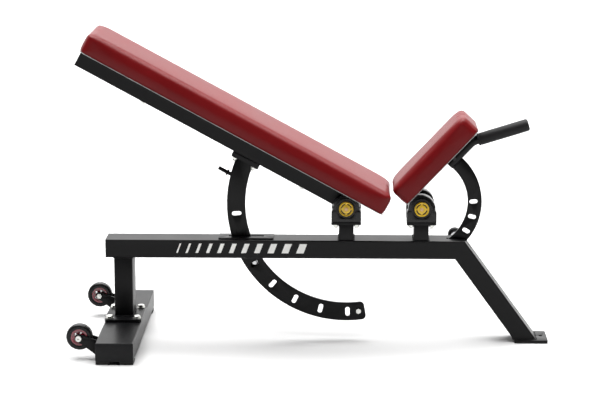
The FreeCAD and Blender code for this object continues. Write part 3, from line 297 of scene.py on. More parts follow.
def redVinyl():
    # PVC leathercloth on foam: embossed grain of 1.6 mm cells, dark red, soft gloss
    material, tree, shader, place = newMaterial("embossedRedVinyl", "#620A0E", 0.36, IOR=1.5,
                                                Specular_IOR_Level=0.14)
    broad = mottle(tree, shader, place, "#58080B", "#660B0F", 0.16, 0.31, 0.41)
    cells = addNode(tree, "ShaderNodeTexVoronoi", {"Scale": 620.0, "Randomness": 0.9},
                    {"Vector": place}, feature="DISTANCE_TO_EDGE")
    valleys = addNode(tree, "ShaderNodeMapRange", {"From Max": 0.25}, {"Value": cells.outputs["Distance"]},
                      interpolation_type="SMOOTHSTEP")
    creases = maths(tree, "MULTIPLY", broad.outputs["Fac"], 0.6)
    height = maths(tree, "ADD", valleys.outputs["Result"], creases)
    bump(tree, shader, height, 0.35, 0.18 * mm)
    return material


def stainedPlywood():
    # birch ply stained black, long grain 3 mm apart along X
    material, tree, shader, place = newMaterial("stainedPlywood", "#231B14", 0.65, IOR=1.5)
    squeeze = addNode(tree, "ShaderNodeMapping", {"Scale": (12.0, 330.0, 60.0)}, {"Vector": place})
    grain = addNode(tree, "ShaderNodeTexNoise", {"Scale": 1.0, "Detail": 5.0, "Distortion": 0.6},
                    {"Vector": squeeze.outputs["Vector"]})
    blend = addNode(tree, "ShaderNodeMix", {6: linear("#17120E"), 7: linear("#3A2C1E")},
                    {0: grain.outputs["Fac"]}, data_type="RGBA")
    tree.links.new(blend.outputs[2], shader.inputs["Base Color"])
    bump(tree, shader, grain.outputs["Fac"], 0.3, 0.3 * mm)
    return material


def gripRubber():
    # dipped nitrile grip: matt black, closed pores about 1.5 mm apart
    material, tree, shader, place = newMaterial("dippedNitrile", "#101011", 0.55, IOR=1.52,
                                                Specular_IOR_Level=0.18)
    mottle(tree, shader, place, "#0C0C0D", "#161617", 0.02, 0.48, 0.66)
    pores = addNode(tree, "ShaderNodeTexVoronoi", {"Scale": 660.0}, {"Vector": place})
    bump(tree, shader, pores.outputs["Distance"], 0.35, 0.2 * mm)
    return material


def whiteDecal():
    # cut white vinyl film, satin, faintly yellowed and scuffed
    material, tree, shader, place = newMaterial("cutWhiteFilm", "#E4E4E1", 0.4, IOR=1.48)
    mottle(tree, shader, place, "#D6D6D2", "#EFEFEC", 0.01, 0.34, 0.5)
    return material


coat, enamel, plastic = powderCoat(), castEnamel(), mouldedPlastic()
rubber, zinc, steel = mouldedRubber(), zincPlate(), groundSteel()
yellow, tyre, hubRed = yellowNylon(), urethaneTyre(), redHub()
vinyl, plywood, nitrile = redVinyl(), stainedPlywood(), gripRubber()
decal, dark = whiteDecal(), blackOxide()
# near-black for the floors of the bearing caps' arc slots: painted shade in those recesses
slotShade = plainPlastic("capSlotPaintedShade", "#0D0D0D", "#1A1A18", 0.6)
bossBeige = plainPlastic("capBossBeige", "#C39A6B", "#D8B587", 0.4)
# pale grey for the bead round each pad's lower edge: a painted highlight
edgeHighlightGrey = plainPlastic("greyEdgeHighlightBead", "#7A7A7A", "#9A9A98", 0.45)
print("materials made:", len(bpy.data.materials))

slotMaterial = {
    "black_powder_coat": coat, "cast_black": enamel, "black_plastic": plastic, "foot_rubber": rubber,
    "zinc_fasteners": zinc, "ground_steel": steel, "yellow_cap": yellow, "wheel_tyre": tyre,
    "red_hub": hubRed, "red_vinyl": vinyl, "plywood": plywood, "grip_rubber": nitrile,
}
nodeSlot = {}
for name, node in nodes.items():
    nodeSlot[name] = node.data.materials[0].name.split(".")[0]
    for place in node.material_slots:
        place.material = slotMaterial[nodeSlot[name]]
for place in nodes["handle_screw"].material_slots:
    place.material = dark


# camera, floor and light

viewer = {"place": (0.1180, -5.5655, 1.5350), "down": 0.2049, "aside": 0.0249, "lens": 123.8}
lens = bpy.data.cameras.new("viewLens")
lens.lens, lens.sensor_width = viewer["lens"], 36.0
lens.clip_end = 200.0
camera = bpy.data.objects.new("viewCamera", lens)
camera.location = viewer["place"]
camera.rotation_euler = (math.pi / 2 - viewer["down"], 0.0, viewer["aside"])
scene.collection.objects.link(camera)
scene.camera = camera
scene.view_settings.view_transform = "Standard"

floorSize = 60.0
corner = floorSize / 2
floor = pieceOf("studioFloor", meshOf("studioFloor", [
    (-corner, -corner, 0), (corner, -corner, 0), (corner, corner, 0), (-corner, corner, 0)], [(0, 1, 2, 3)]))
paper, tree, shader, place = newMaterial("palePaperSweep", "#B2B2B2", 0.9, Specular_IOR_Level=0.1)
mottle(tree, shader, place, "#B0B0B0", "#B4B4B4", 0.8, 0.86, 0.94)
floor.data.materials.append(paper)

studio = {
    "skyBack": 1.7, "skyFront": 0.03,
    "sun": {"strength": 9.5, "spread": 70.0, "lean": 0.12},
    "front": {"power": 0.8, "size": (4.0, 2.0), "place": (0.5, -4.5, 2.2), "towards": (0, 0, 0.3)},
}
world = bpy.data.worlds.new("studioWorld")
scene.world = world
world.use_nodes = True
tree = world.node_tree
sky = tree.nodes["Background"]
sky.inputs["Color"].default_value = linear("#FFFFFF")
# the room is bright behind the bench and dim in front of it
towards = addNode(tree, "ShaderNodeTexCoord").outputs["Generated"]
parts = addNode(tree, "ShaderNodeSeparateXYZ", {}, {"Vector": towards})
fade = addNode(tree, "ShaderNodeMapRange", {
    "From Min": -0.25, "From Max": 0.45, "To Min": studio["skyFront"], "To Max": studio["skyBack"]},
    {"Value": parts.outputs["Y"]}, interpolation_type="SMOOTHSTEP")
tree.links.new(fade.outputs["Result"], sky.inputs["Strength"])

sun = bpy.data.lights.new("overheadSoftbox", "SUN")
sun.energy = studio["sun"]["strength"]
sun.angle = math.radians(studio["sun"]["spread"])
lamp = bpy.data.objects.new("overheadSoftbox", sun)
lamp.rotation_euler = (-studio["sun"]["lean"], 0, 0)
scene.collection.objects.link(lamp)
fill = studio["front"]
light = bpy.data.lights.new("frontSoftbox", "AREA")
light.shape = "RECTANGLE"
light.size, light.size_y = fill["size"]
light.energy = fill["power"]
lamp = bpy.data.objects.new("frontSoftbox", light)
lamp.location = fill["place"]
lamp.rotation_euler = (Vector(fill["towards"]) - Vector(fill["place"])).to_track_quat("-Z", "Y").to_euler()
lamp.visible_camera = False
scene.collection.objects.link(lamp)
print("studio set")


# coated steel with softened edges, made from merged copies of the frame's pieces

def plainCopy(name, flat=0.6):
    source = nodes[name].data
    faces = [tuple(face.vertices) for face in source.polygons]
    mesh = meshOf(name + "Shell", [v.co for v in source.vertices], faces)
    shell = bmesh.new()
    shell.from_mesh(mesh)
    bmesh.ops.remove_doubles(shell, verts=shell.verts, dist=0.01 * mm)
    bmesh.ops.dissolve_limit(shell, angle_limit=math.radians(flat), verts=shell.verts, edges=shell.edges)
    shell.to_mesh(mesh)
    shell.free()
    return mesh


edgeRound = {  # bevel width in mm on each copied piece
    "rear_post": 3.0, "pivot_posts": 3.0, "post_base_plate": 1.2, "rail_slot_plate": 0.8,
    "front_foot_plate": 0.8, "front_foot_pad": 0.5, "rubber_feet": 2.0, "foot_end_caps": 3.6,
    "rail_end_cap": 0.7, "back_arc": 0.7, "seat_arc": 0.7, "bearing_blocks": 1.6, "pivot_plates": 0.8,
    "wheel_arms": 0.6, "arc_mount_plates": 0.8, "back_latch_bracket": 0.8, "back_beam_caps": 0.7,
    "seat_beam": 0.6, "rest_stop_peg": 0.8,
}


def softenEdges():
    for name, width in edgeRound.items():
        piece = pieceOf(name + "Rounded", plainCopy(name), slotMaterial[nodeSlot[name]])
        bevel = piece.modifiers.new("edges", "BEVEL")
        bevel.width, bevel.segments = width * mm, 2
        bevel.limit_method, bevel.angle_limit = "ANGLE", math.radians(38)
        freeze(piece, 32)
        stand(piece, nodes[name]["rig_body"], nodeSlot[name], name)
    print("edges softened:", len(edgeRound))


softenEdges()


# turned parts

# profile: (radius, height) pairs from one end of the axis to the other, along Z
def turned(name, profile, segments, flutes=0, depth=0.0, cuts=None):
    points, faces, rows = [], [], []
    for radius, height in profile:
        row = []
        for step in range(segments):
            angle = 2 * math.pi * step / segments
            wide = radius
            if flutes and radius > 12 * mm:
                wide -= depth * (0.5 - 0.5 * math.cos(flutes * angle)) ** 2
            low = cuts(radius, angle) if cuts else 0.0
            row.append(len(points))
            points.append((wide * math.cos(angle), wide * math.sin(angle), height - low))
        rows.append(row)
    for low, high in zip(rows, rows[1:]):
        for step in range(segments):
            after = (step + 1) % segments
            faces.append((low[step], low[after], high[after], high[step]))
    return tidyMesh(meshOf(name, points, faces), 1e-7)


capShape = {"slotIn": 12.2, "slotOut": 15.2, "slots": 4, "slotShare": 0.74, "slotDeep": 2.4}


def capSlot(radius, angle):  # depth of the four arc slots in a bearing cap's face
    inside = capShape["slotIn"] * mm < radius < capShape["slotOut"] * mm
    turn = (angle / (2 * math.pi) * capShape["slots"]) % 1.0
    return capShape["slotDeep"] * mm if inside and abs(turn - 0.5) < capShape["slotShare"] / 2 else 0.0


def makeBearingCaps():
    profile = [(19.5, -2), (19.5, 5.2), (19.0, 6.2), (18.2, 6.6), (17.4, 6.4), (16.7, 5.4), (16.2, 3.9),
               (15.25, 3.9), (15.1, 3.9), (12.3, 3.9), (12.15, 3.9), (11.6, 3.9), (11.2, 4.9), (10.2, 5.3),
               (5.6, 5.3), (5.2, 4.2), (4.6, 4.2), (4.4, 6.4), (3.8, 6.8), (1.5, 6.8), (1.2, 5.8), (0.0, 5.8)]
    profile = [(radius * mm, height * mm) for radius, height in profile]
    parts = []
    outside = box("bearing_caps")[1].y
    for pivot in (backPivot, seatPivot):
        for side in (-1, 1):
            mesh = turned("cap", profile, 96, cuts=capSlot)
            turn = Matrix.Rotation(math.radians(90 if side < 0 else -90), 4, "X")
            mesh.transform(Matrix.Translation((pivot.x, side * (outside - 7 * mm), pivot.z)) @ turn)
            parts.append(mesh)
    piece = pieceOf("bearingCaps", joined("bearingCaps", parts), yellow, slotShade, bossBeige)
    for face in piece.data.polygons:
        spot = face.center
        pivot = backPivot if abs(spot.x - backPivot.x) < 0.05 else seatPivot
        reach = math.hypot(spot.x - pivot.x, spot.z - pivot.z)
        deep = outside - abs(spot.y)
        if reach < 4.7 * mm:
            face.material_index = 2
        # slot floor faces get the near-black material: painted shade standing in for the recess's shade
        elif 12.1 * mm < reach < 15.3 * mm and deep > 3.3 * mm:
            face.material_index = 1
    shade(piece.data, 40)
    stand(piece, "frame", "yellow_cap", "bearing_caps")


def joined(name, meshes):
    whole = bmesh.new()
    for mesh in meshes:
        whole.from_mesh(mesh)
    mesh = bpy.data.meshes.new(name)
    whole.to_mesh(mesh)
    whole.free()
    return mesh


wheel = {"tread": 35.0, "half": 12.0, "shoulder": 7.0, "bore": 22.0}


def makeTyres():
    steps = 7
    for side in ("left", "right"):
        low, high = box(f"wheel_{side}_tyre")
        centre = (low + high) / 2
        half, tread, soft = wheel["half"], wheel["tread"], wheel["shoulder"]
        profile = [(wheel["bore"], -half + 1.0), (wheel["bore"] + 2.5, -half + 0.2)]
        for step in range(steps + 1):
            angle = math.pi / 2 * step / steps
            profile.append((tread - soft + soft * math.sin(angle), -half + soft - soft * math.cos(angle)))
        profile += [(tread + 0.0, -0.6), (tread - 0.35, 0.0)]
        profile += [(radius, -height) for radius, height in reversed(profile[:-1])]
        profile.append(profile[0])
        mesh = turned("tyre", [(r * mm, h * mm) for r, h in profile], 72)
        mesh.transform(Matrix.Translation(centre) @ Matrix.Rotation(math.pi / 2, 4, "X"))
        piece = pieceOf(f"wheelTyre_{side}", mesh, tyre)
        shade(mesh, 40)
        stand(piece, f"wheel_{side}", "wheel_tyre", f"wheel_{side}_tyre")
        shields = []
        for face in (-1, 1):  # bearing shield pressed into each side of the hub
            shieldShape = [(4.2, 0.0), (4.2, 0.9), (6.4, 0.9), (6.8, 0.5), (7.8, 0.5), (8.2, 0.9), (8.3, 0.0)]
            shield = turned("shield", [(r * mm, h * mm) for r, h in shieldShape], 48)
            turn = Matrix.Rotation(-face * math.pi / 2, 4, "X")
            shield.transform(Matrix.Translation(centre + Vector((0, face * 11.6 * mm, 0))) @ turn)
            shields.append(shield)
        piece = pieceOf(f"wheelShields_{side}", joined("shields", shields), zinc)
        shade(piece.data, 30)
        stand(piece, f"wheel_{side}", "zinc_fasteners")


def makeKnobs():
    for name in ("back", "seat"):
        low, high = box(f"{name}_latch_knob")
        centre = (low + high) / 2
        profile = [(0, 0), (9, 0), (9.6, 0.6), (11, 3.6), (16, 5.4), (18.2, 7.2), (19, 10), (19, 19),
                   (18.4, 22), (16.5, 24.4), (13, 25.6), (8, 26.0), (7.4, 25.4), (0, 25.2)]
        mesh = turned("knob", [(r * mm, h * mm) for r, h in profile], 192, flutes=24, depth=0.6 * mm)
        turn = Matrix.Rotation(-math.pi / 2, 4, "X")
        mesh.transform(Matrix.Translation((centre.x, low.y, centre.z)) @ turn)
        piece = pieceOf(f"{name}LatchKnob", mesh, plastic)
        shade(mesh, 40)
        stand(piece, f"{name}_latch", "black_plastic", f"{name}_latch_knob")


grip = {"radius": 17.0, "long": 143.0, "bend": math.radians(29.5)}


def makeGrip():
    low, high = box("handle_grip")
    centre = (low + high) / 2
    half, radius = grip["long"] / 2, grip["radius"]
    profile = [(12.6, -half), (14.2, -half), (radius, -half + 0.9), (radius, -half + 4.6)]
    profile += [(radius - 0.9, -half + 5.4)]
    profile += [(radius - 0.9, -half + 7.0), (radius - 0.25, -half + 8.0), (radius - 0.25, half - 12)]
    for step in range(7):
        angle = math.pi / 2 * step / 6
        profile.append((radius - 0.25 - 6 + 6 * math.cos(angle), half - 6 + 6 * math.sin(angle)))
    profile += [(5.0, half), (4.2, half - 0.7), (0.0, half - 0.7)]
    mesh = turned("grip", [(r * mm, h * mm) for r, h in profile], 64)
    tilt = seatTilt - grip["bend"]
    along = Vector((math.cos(tilt), 0, math.sin(tilt)))
    mesh.transform(Matrix.Translation(centre) @ along.to_track_quat("Z", "Y").to_matrix().to_4x4())
    piece = pieceOf("handleGrip", mesh, nitrile)
    shade(mesh, 40)
    stand(piece, "seat", "grip_rubber", "handle_grip")


# black rubber seal between each cap and its block's bore
def makeSeals():
    shape = [(19.7, -3.0), (19.7, 1.0), (20.3, 1.6), (22.4, 1.6),
             (22.9, 1.0), (25.2, 1.0), (25.8, 0.4), (25.9, -3.0)]
    outside = box("bearing_blocks")[1].y
    seals = []
    for pivot in (backPivot, seatPivot):
        for side in (-1, 1):
            mesh = turned("seal", [(r * mm, h * mm) for r, h in shape], 72)
            turn = Matrix.Rotation(math.radians(90 if side < 0 else -90), 4, "X")
            mesh.transform(Matrix.Translation((pivot.x, side * (outside - 1.6 * mm), pivot.z)) @ turn)
            seals.append(mesh)
    piece = pieceOf("bearingSeals", joined("bearingSeals", seals), rubber)
    shade(piece.data, 40)
    stand(piece, "frame", "foot_rubber")


makeBearingCaps()
makeSeals()
makeTyres()
makeKnobs()
makeGrip()
print("turned parts made")


# geometry nodes: fasteners, weld beads, staples

def newTree(name, sizes):
    tree = bpy.data.node_groups.new(name, "GeometryNodeTree")
    tree.interface.new_socket("Geometry", in_out="INPUT", socket_type="NodeSocketGeometry")
    for label, value in sizes.items():
        kind = "NodeSocketInt" if isinstance(value, int) else "NodeSocketFloat"
        tree.interface.new_socket(label, in_out="INPUT", socket_type=kind)
    tree.interface.new_socket("Paint", in_out="INPUT", socket_type="NodeSocketMaterial")
    tree.interface.new_socket("Geometry", in_out="OUTPUT", socket_type="NodeSocketGeometry")
    return tree, tree.nodes.new("NodeGroupInput").outputs, tree.nodes.new("NodeGroupOutput").inputs


def grow(piece, tree, sizes, paint):  # runs a tree on a piece and keeps its plain mesh
    modifier = piece.modifiers.new("grow", "NODES")
    modifier.node_group = tree
    for item in tree.interface.items_tree:
        if item.item_type == "SOCKET" and item.in_out == "INPUT" and item.name in sizes:
            modifier[item.identifier] = sizes[item.name]
        if item.item_type == "SOCKET" and item.name == "Paint":
            modifier[item.identifier] = paint
    return freeze(piece, 30)


boltSizes = {"across": 13.0 * mm, "headHigh": 5.2 * mm, "washer": 16.0 * mm, "washerHigh": 1.4 * mm,
             "thread": 8.0 * mm, "threadHigh": 9.0 * mm}


def boltTree():
    tree, given, out = newTree("hexFasteners", boltSizes)
    parts = []
    half = {label: maths(tree, "MULTIPLY", given[label], 0.5)
            for label in ("headHigh", "washer", "washerHigh", "thread", "threadHigh")}
    corner = maths(tree, "DIVIDE", given["across"], math.sqrt(3))
    slim = maths(tree, "MULTIPLY", corner, 0.88)
    body = maths(tree, "MULTIPLY", given["headHigh"], 0.82)
    chamfer = maths(tree, "SUBTRACT", given["headHigh"], body)
    halfBody = maths(tree, "MULTIPLY", body, 0.5)

    def lift(*pieces):
        total = pieces[0]
        for more in pieces[1:]:
            total = maths(tree, "ADD", total, more)
        return addNode(tree, "ShaderNodeCombineXYZ", {}, {"Z": total}).outputs[0]

    def stack(solid, height):
        moved = addNode(tree, "GeometryNodeTransform", {}, {"Geometry": solid, "Translation": height})
        parts.append(moved.outputs["Geometry"])

    washer = addNode(tree, "GeometryNodeMeshCylinder", {"Vertices": 28},
                     {"Radius": half["washer"], "Depth": given["washerHigh"]})
    stack(washer.outputs["Mesh"], lift(half["washerHigh"]))
    head = addNode(tree, "GeometryNodeMeshCylinder", {"Vertices": 6}, {"Radius": corner, "Depth": body})
    stack(head.outputs["Mesh"], lift(given["washerHigh"], halfBody))
    top = addNode(tree, "GeometryNodeMeshCone", {"Vertices": 6},
                  {"Radius Top": slim, "Radius Bottom": corner, "Depth": chamfer})
    stack(top.outputs["Mesh"], lift(given["washerHigh"], body))
    shank = addNode(tree, "GeometryNodeMeshCylinder", {"Vertices": 20},
                    {"Radius": half["thread"], "Depth": given["threadHigh"]})
    stack(shank.outputs["Mesh"], lift(half["threadHigh"]))
    rib = maths(tree, "MULTIPLY", half["thread"], 1.04)
    for turn in (0.42, 0.56, 0.70, 0.84):  # thread crests on the free end
        crest = addNode(tree, "GeometryNodeMeshCylinder", {"Vertices": 20, "Depth": 0.45 * mm},
                        {"Radius": rib})
        stack(crest.outputs["Mesh"], lift(maths(tree, "MULTIPLY", given["threadHigh"], turn + 0.14)))
    bundle = addNode(tree, "GeometryNodeJoinGeometry")
    for part in parts:
        tree.links.new(part, bundle.inputs[0])
    axis = addNode(tree, "GeometryNodeInputNamedAttribute", {"Name": "axis"}, data_type="FLOAT_VECTOR")
    turn = addNode(tree, "FunctionNodeAlignEulerToVector", {}, {"Vector": axis.outputs["Attribute"]},
                   axis="Z")
    spots = addNode(tree, "GeometryNodeInstanceOnPoints", {}, {
        "Points": given["Geometry"], "Instance": bundle.outputs[0], "Rotation": turn.outputs["Rotation"]})
    real = addNode(tree, "GeometryNodeRealizeInstances", {}, {"Geometry": spots.outputs["Instances"]})
    painted = addNode(tree, "GeometryNodeSetMaterial", {}, {
        "Geometry": real.outputs["Geometry"], "Material": given["Paint"]})
    tree.links.new(painted.outputs["Geometry"], out[0])
    return tree


# spots: (point, outward direction) pairs
def fasteners(name, spots, body, sizes, paint, *replaced):
    mesh = meshOf(name, [point for point, axis in spots], [])
    layer = mesh.attributes.new("axis", "FLOAT_VECTOR", "POINT")
    layer.data.foreach_set("vector", [value for point, axis in spots for value in axis])
    piece = grow(pieceOf(name, mesh), boltTrees, {**boltSizes, **sizes}, paint)
    stand(piece, body, "zinc_fasteners", *replaced)


def boltPlaces(name):  # centre of each solid in a fastener node, from its loose parts
    shell = bmesh.new()
    shell.from_mesh(nodes[name].data)
    bmesh.ops.remove_doubles(shell, verts=shell.verts, dist=0.01 * mm)
    seen, groups = set(), []
    for vert in shell.verts:
        if vert in seen:
            continue
        seen.add(vert)
        group, queue = [], [vert]
        while queue:
            point = queue.pop()
            group.append(point.co.copy())
            for edge in point.link_edges:
                other = edge.other_vert(point)
                if other not in seen:
                    seen.add(other)
                    queue.append(other)
        groups.append(group)
    shell.free()
    return groups


# the centre of the seat under each head: heads are at the +axis end of their bolts
def headPlaces(name, axis, headHigh):
    axis = Vector(axis).normalized()
    spots = []
    for group in boltPlaces(name):
        far = max(point.dot(axis) for point in group)
        tips = [point for point in group if point.dot(axis) > far - 0.05 * mm]
        centre = sum(tips, Vector()) / len(tips)
        spots.append((centre - axis * headHigh, axis))
    return spots


boltTrees = boltTree()
down = Vector((0, 0, -1))
backDown = (backPlace.to_3x3() @ down).normalized()
seatDown = (seatPlace.to_3x3() @ down).normalized()
fasteners("baseBolts", headPlaces("base_bolts", (0, 0, 1), 6.5 * mm), "frame",
          {"across": 17 * mm, "headHigh": 6.5 * mm, "washer": 22 * mm, "washerHigh": 1.8 * mm,
           "thread": 10 * mm, "threadHigh": 8.2 * mm}, zinc, "base_bolts")
fasteners("blockBolts", headPlaces("block_bolts", down, 5.2 * mm), "frame",
          {"across": 14 * mm, "headHigh": 6.5 * mm, "washer": 18 * mm, "threadHigh": 13 * mm},
          zinc, "block_bolts")
fasteners("arcBolts", headPlaces("arc_bolts", backDown, 5.2 * mm), "backrest",
          {"threadHigh": 11 * mm}, zinc, "arc_bolts")
for part, axis in (("back", backDown), ("seat", seatDown)):
    fasteners(f"{part}PadBolts", headPlaces(f"{part}_pad_bolts", axis, 5.2 * mm),
              "backrest" if part == "back" else "seat", {"threadHigh": 6.5 * mm},
              zinc if part == "back" else dark, f"{part}_pad_bolts")
print("fasteners placed")


weldSizes = {"radius": 2.6 * mm, "ripple": 0.5 * mm, "pitch": 2.6 * mm, "spacing": 0.9 * mm}


def weldTree():
    tree, given, out = newTree("weldBeads", weldSizes)
    line = addNode(tree, "GeometryNodeMeshToCurve", {}, {"Mesh": given["Geometry"]})
    fine = addNode(tree, "GeometryNodeResampleCurve", {},
                   {"Curve": line.outputs["Curve"], "Length": given["spacing"]}, mode="LENGTH")
    along = addNode(tree, "GeometryNodeSplineParameter").outputs["Length"]
    turns = maths(tree, "DIVIDE", along, given["pitch"])
    wave = maths(tree, "SINE", maths(tree, "MULTIPLY", turns, 2 * math.pi))
    wide = maths(tree, "ADD", maths(tree, "MULTIPLY", wave, given["ripple"]), given["radius"])
    # the bead is a tube as thick as the ripple says
    profile = addNode(tree, "GeometryNodeCurvePrimitiveCircle", {"Resolution": 10, "Radius": 1.0})
    bead = addNode(tree, "GeometryNodeCurveToMesh", {"Fill Caps": True}, {
        "Curve": fine.outputs["Curve"], "Profile Curve": profile.outputs["Curve"], "Scale": wide})
    painted = addNode(tree, "GeometryNodeSetMaterial", {}, {
        "Geometry": bead.outputs["Mesh"], "Material": given["Paint"]})
    tree.links.new(painted.outputs["Geometry"], out[0])
    return tree


weldTrees = weldTree()


# closed rectangle with cut corners at one height, from a box's plan
def ringAt(low, high, height, radius=3 * mm):
    x0, y0, x1, y1 = low.x, low.y, high.x, high.y
    plan = [(x0 + radius, y0), (x1 - radius, y0), (x1, y0 + radius), (x1, y1 - radius),
            (x1 - radius, y1), (x0 + radius, y1), (x0, y1 - radius), (x0, y0 + radius)]
    return [Vector((x, y, height)) for x, y in plan] + [Vector((*plan[0], height))]


def weldPiece(name, body, paths, sizes=None):
    mesh = bpy.data.meshes.new(name)
    points, edges = [], []
    for path in paths:
        start = len(points)
        closed = (path[0] - path[-1]).length < 1e-7
        unique = path[:-1] if closed else path
        points += unique
        edges += [(start + n, start + n + 1) for n in range(len(unique) - 1)]
        if closed:
            edges.append((start + len(unique) - 1, start))
    mesh.from_pydata([tuple(p) for p in points], edges, [])
    piece = grow(pieceOf(name, mesh), weldTrees, {**weldSizes, **(sizes or {})}, coat)
    shade(piece.data, 60)
    stand(piece, body, "black_powder_coat")


weldPlaces = {"postHalf": 20.0, "legDeep": 50.0, "wheelSide": 227.0, "armApart": 21.5,
              "armEnd": 6.0, "bracketEnd": 3.0, "slotEnd": 8.0}
legAngle = math.radians(54.0)


def makeWelds():
    size = {name: value * mm for name, value in weldPlaces.items()}
    paths = []
    low, high = box("rear_post")
    paths += [ringAt(low, high, high.z), ringAt(low, high, low.z)]
    low, high = box("pivot_posts")
    for pivot in (backPivot, seatPivot):
        half = Vector((size["postHalf"], 0, 0))
        start, end = Vector((pivot.x, low.y, 0)) - half, Vector((pivot.x, high.y, 0)) + half
        paths += [ringAt(start, end, low.z), ringAt(start, end, high.z)]
    legLow, legHigh = box("front_leg")
    plateTop = box("front_foot_plate")[1].z
    heel = legHigh.x - size["legDeep"] / math.sin(legAngle)
    paths.append(ringAt(Vector((heel, legLow.y, 0)), Vector((legHigh.x, legHigh.y, 0)), plateTop))
    footLow, footHigh = box("cross_foot")
    bottom, top = footLow.z + size["armEnd"], footHigh.z - size["armEnd"]
    for side in (-1, 1):
        for gap in (-1, 1):
            y = side * size["wheelSide"] + gap * size["armApart"]
            paths.append([Vector((footLow.x, y, bottom)), Vector((footLow.x, y, top))])
    barLow, barHigh = box("back_latch_bracket")
    for y in (barLow.y, barHigh.y):
        start, end = barLow.x + size["bracketEnd"], barHigh.x - size["bracketEnd"]
        paths.append([Vector((start, y, barHigh.z)), Vector((end, y, barHigh.z))])
    slotLow, slotHigh = box("rail_slot_plate")
    for y in (slotLow.y, slotHigh.y):
        start, end = slotLow.x + size["slotEnd"], slotHigh.x - size["slotEnd"]
        paths.append([Vector((start, y, slotLow.z)), Vector((end, y, slotLow.z))])
    weldPiece("frameWelds", "frame", paths)


makeWelds()
print("welds run")


# upholstered pads

pads = {
    "back": {"rear": -828.0, "front": 91.0, "wide": 240.0, "low": 41.0, "thick": 56.0, "place": backPlace,
             "body": "backrest", "voxel": 6.0},
    "seat": {"rear": -21.0, "front": 262.0, "wide": 164.0, "low": 39.3, "thick": 57.4, "place": seatPlace,
             "body": "seat", "voxel": 5.0},
}
padding = {"corner": 22.0, "inset": 1.2, "topRound": 11.0, "lowRound": 4.0, "swell": 2.4, "crown": 2.5,
           "pressure": 1.6, "frames": 14, "pleat": 0.7, "pleats": 9}


# rounded rectangle in plan, counter-clockwise
def planRing(rear, front, half, radius, steps=8):
    ring = []
    for cx, cy, start in ((front - radius, half - radius, 0), (rear + radius, half - radius, 90),
                          (rear + radius, radius - half, 180), (front - radius, radius - half, 270)):
        for step in range(steps + 1):
            angle = math.radians(start + 90 * step / steps)
            ring.append((cx + radius * math.cos(angle), cy + radius * math.sin(angle)))
    return ring


def padShell(name, size):
    inset = padding["inset"]
    rear, front = size["rear"] + inset, size["front"] - inset
    half, low, high = size["wide"] / 2 - inset, size["low"], size["low"] + size["thick"] - inset
    levels = []
    for step in range(5):
        angle = math.pi / 2 * step / 4
        soft = padding["lowRound"]
        levels.append((soft * (1 - math.sin(angle)), low + soft * (1 - math.cos(angle))))
    for step in range(9):
        angle = math.pi / 2 * step / 8
        soft = padding["topRound"]
        levels.append((soft * (1 - math.cos(angle)), high - soft + soft * math.sin(angle)))
    points, faces = [], []
    for pull, height in levels:
        for x, y in planRing(rear + pull, front - pull, half - pull, padding["corner"] - pull):
            points.append((x * mm, y * mm, height * mm))
    count = len(points) // len(levels)
    for level in range(len(levels) - 1):
        for step in range(count):
            a, b = level * count + step, level * count + (step + 1) % count
            faces.append((a, b, b + count, a + count))
    faces.append(tuple(range(count))[::-1])
    faces.append(tuple(range(len(points) - count, len(points))))
    return tidyMesh(meshOf(name, points, faces), 1e-7)


# blows the shell up as cloth over foam; the wrapped under-side stays on the board
def swell(piece, size):
    low = (size["low"] + 6) * mm
    held = piece.vertex_groups.new(name="stapled")
    held.add([v.index for v in piece.data.vertices if v.co.z < low], 1.0, "REPLACE")
    start = [v.co.copy() for v in piece.data.vertices]
    cloth = piece.modifiers.new("swell", "CLOTH")
    cloth.settings.quality = 4
    cloth.settings.mass = 0.3
    cloth.settings.tension_stiffness = 12
    cloth.settings.compression_stiffness = 12
    cloth.settings.bending_stiffness = 2.5
    cloth.settings.use_pressure = True
    cloth.settings.uniform_pressure_force = padding["pressure"]
    cloth.settings.effector_weights.gravity = 0.0
    cloth.settings.vertex_group_mass = "stapled"
    cloth.point_cache.frame_start, cloth.point_cache.frame_end = 1, padding["frames"]
    for frameNumber in range(1, padding["frames"] + 1):
        scene.frame_set(frameNumber)
    depsgraph = bpy.context.evaluated_depsgraph_get()
    blown = piece.evaluated_get(depsgraph).to_mesh()
    moved = [v.co.copy() for v in blown.vertices]
    piece.evaluated_get(depsgraph).to_mesh_clear()
    piece.modifiers.clear()
    piece.vertex_groups.clear()
    scene.frame_set(1)
    cap = padding["swell"] * mm
    for vert, was, now in zip(piece.data.vertices, start, moved):
        step = now - was
        if step.length > cap:
            step *= cap / step.length
        vert.co = was + step


# crown and corner pleats
def finishPad(piece, size):
    rear, front, half = size["rear"] * mm, size["front"] * mm, size["wide"] / 2 * mm
    low, high = size["low"] * mm, (size["low"] + size["thick"]) * mm
    middle, reach = (rear + front) / 2, (front - rear) / 2
    round_ = padding["corner"] * mm
    for vert in piece.data.vertices:
        x, y, z = vert.co
        rise = (z - low) / (high - low)
        across, along = min(1, abs(y) / half), min(1, abs(x - middle) / reach)
        if rise > 0.7:
            z += padding["crown"] * mm * (1 - across ** 4) * (1 - along ** 6) * (rise - 0.7) / 0.3
        cx = max(rear + round_, min(front - round_, x))
        cy = max(round_ - half, min(half - round_, y))
        out = Vector((x - cx, y - cy, 0))
        if out.length > round_ * 0.75 and abs(out.x) > 1e-5 and abs(out.y) > 1e-5:
            turn = math.atan2(abs(out.y), abs(out.x)) / (math.pi / 2)
            ends = math.sin(math.pi * turn)
            fade = ends * max(0.0, 1 - rise) ** 0.8 * min(1.0, rise * 12)
            push = padding["pleat"] * mm * math.sin(turn * math.pi * 2 * padding["pleats"] / 2) * fade
            x, y = x + out.normalized().x * push, y + out.normalized().y * push
        vert.co = (x, y, z)
    subdivide = piece.modifiers.new("fine", "SUBSURF")
    subdivide.levels = subdivide.render_levels = 1
    freeze(piece, 180)


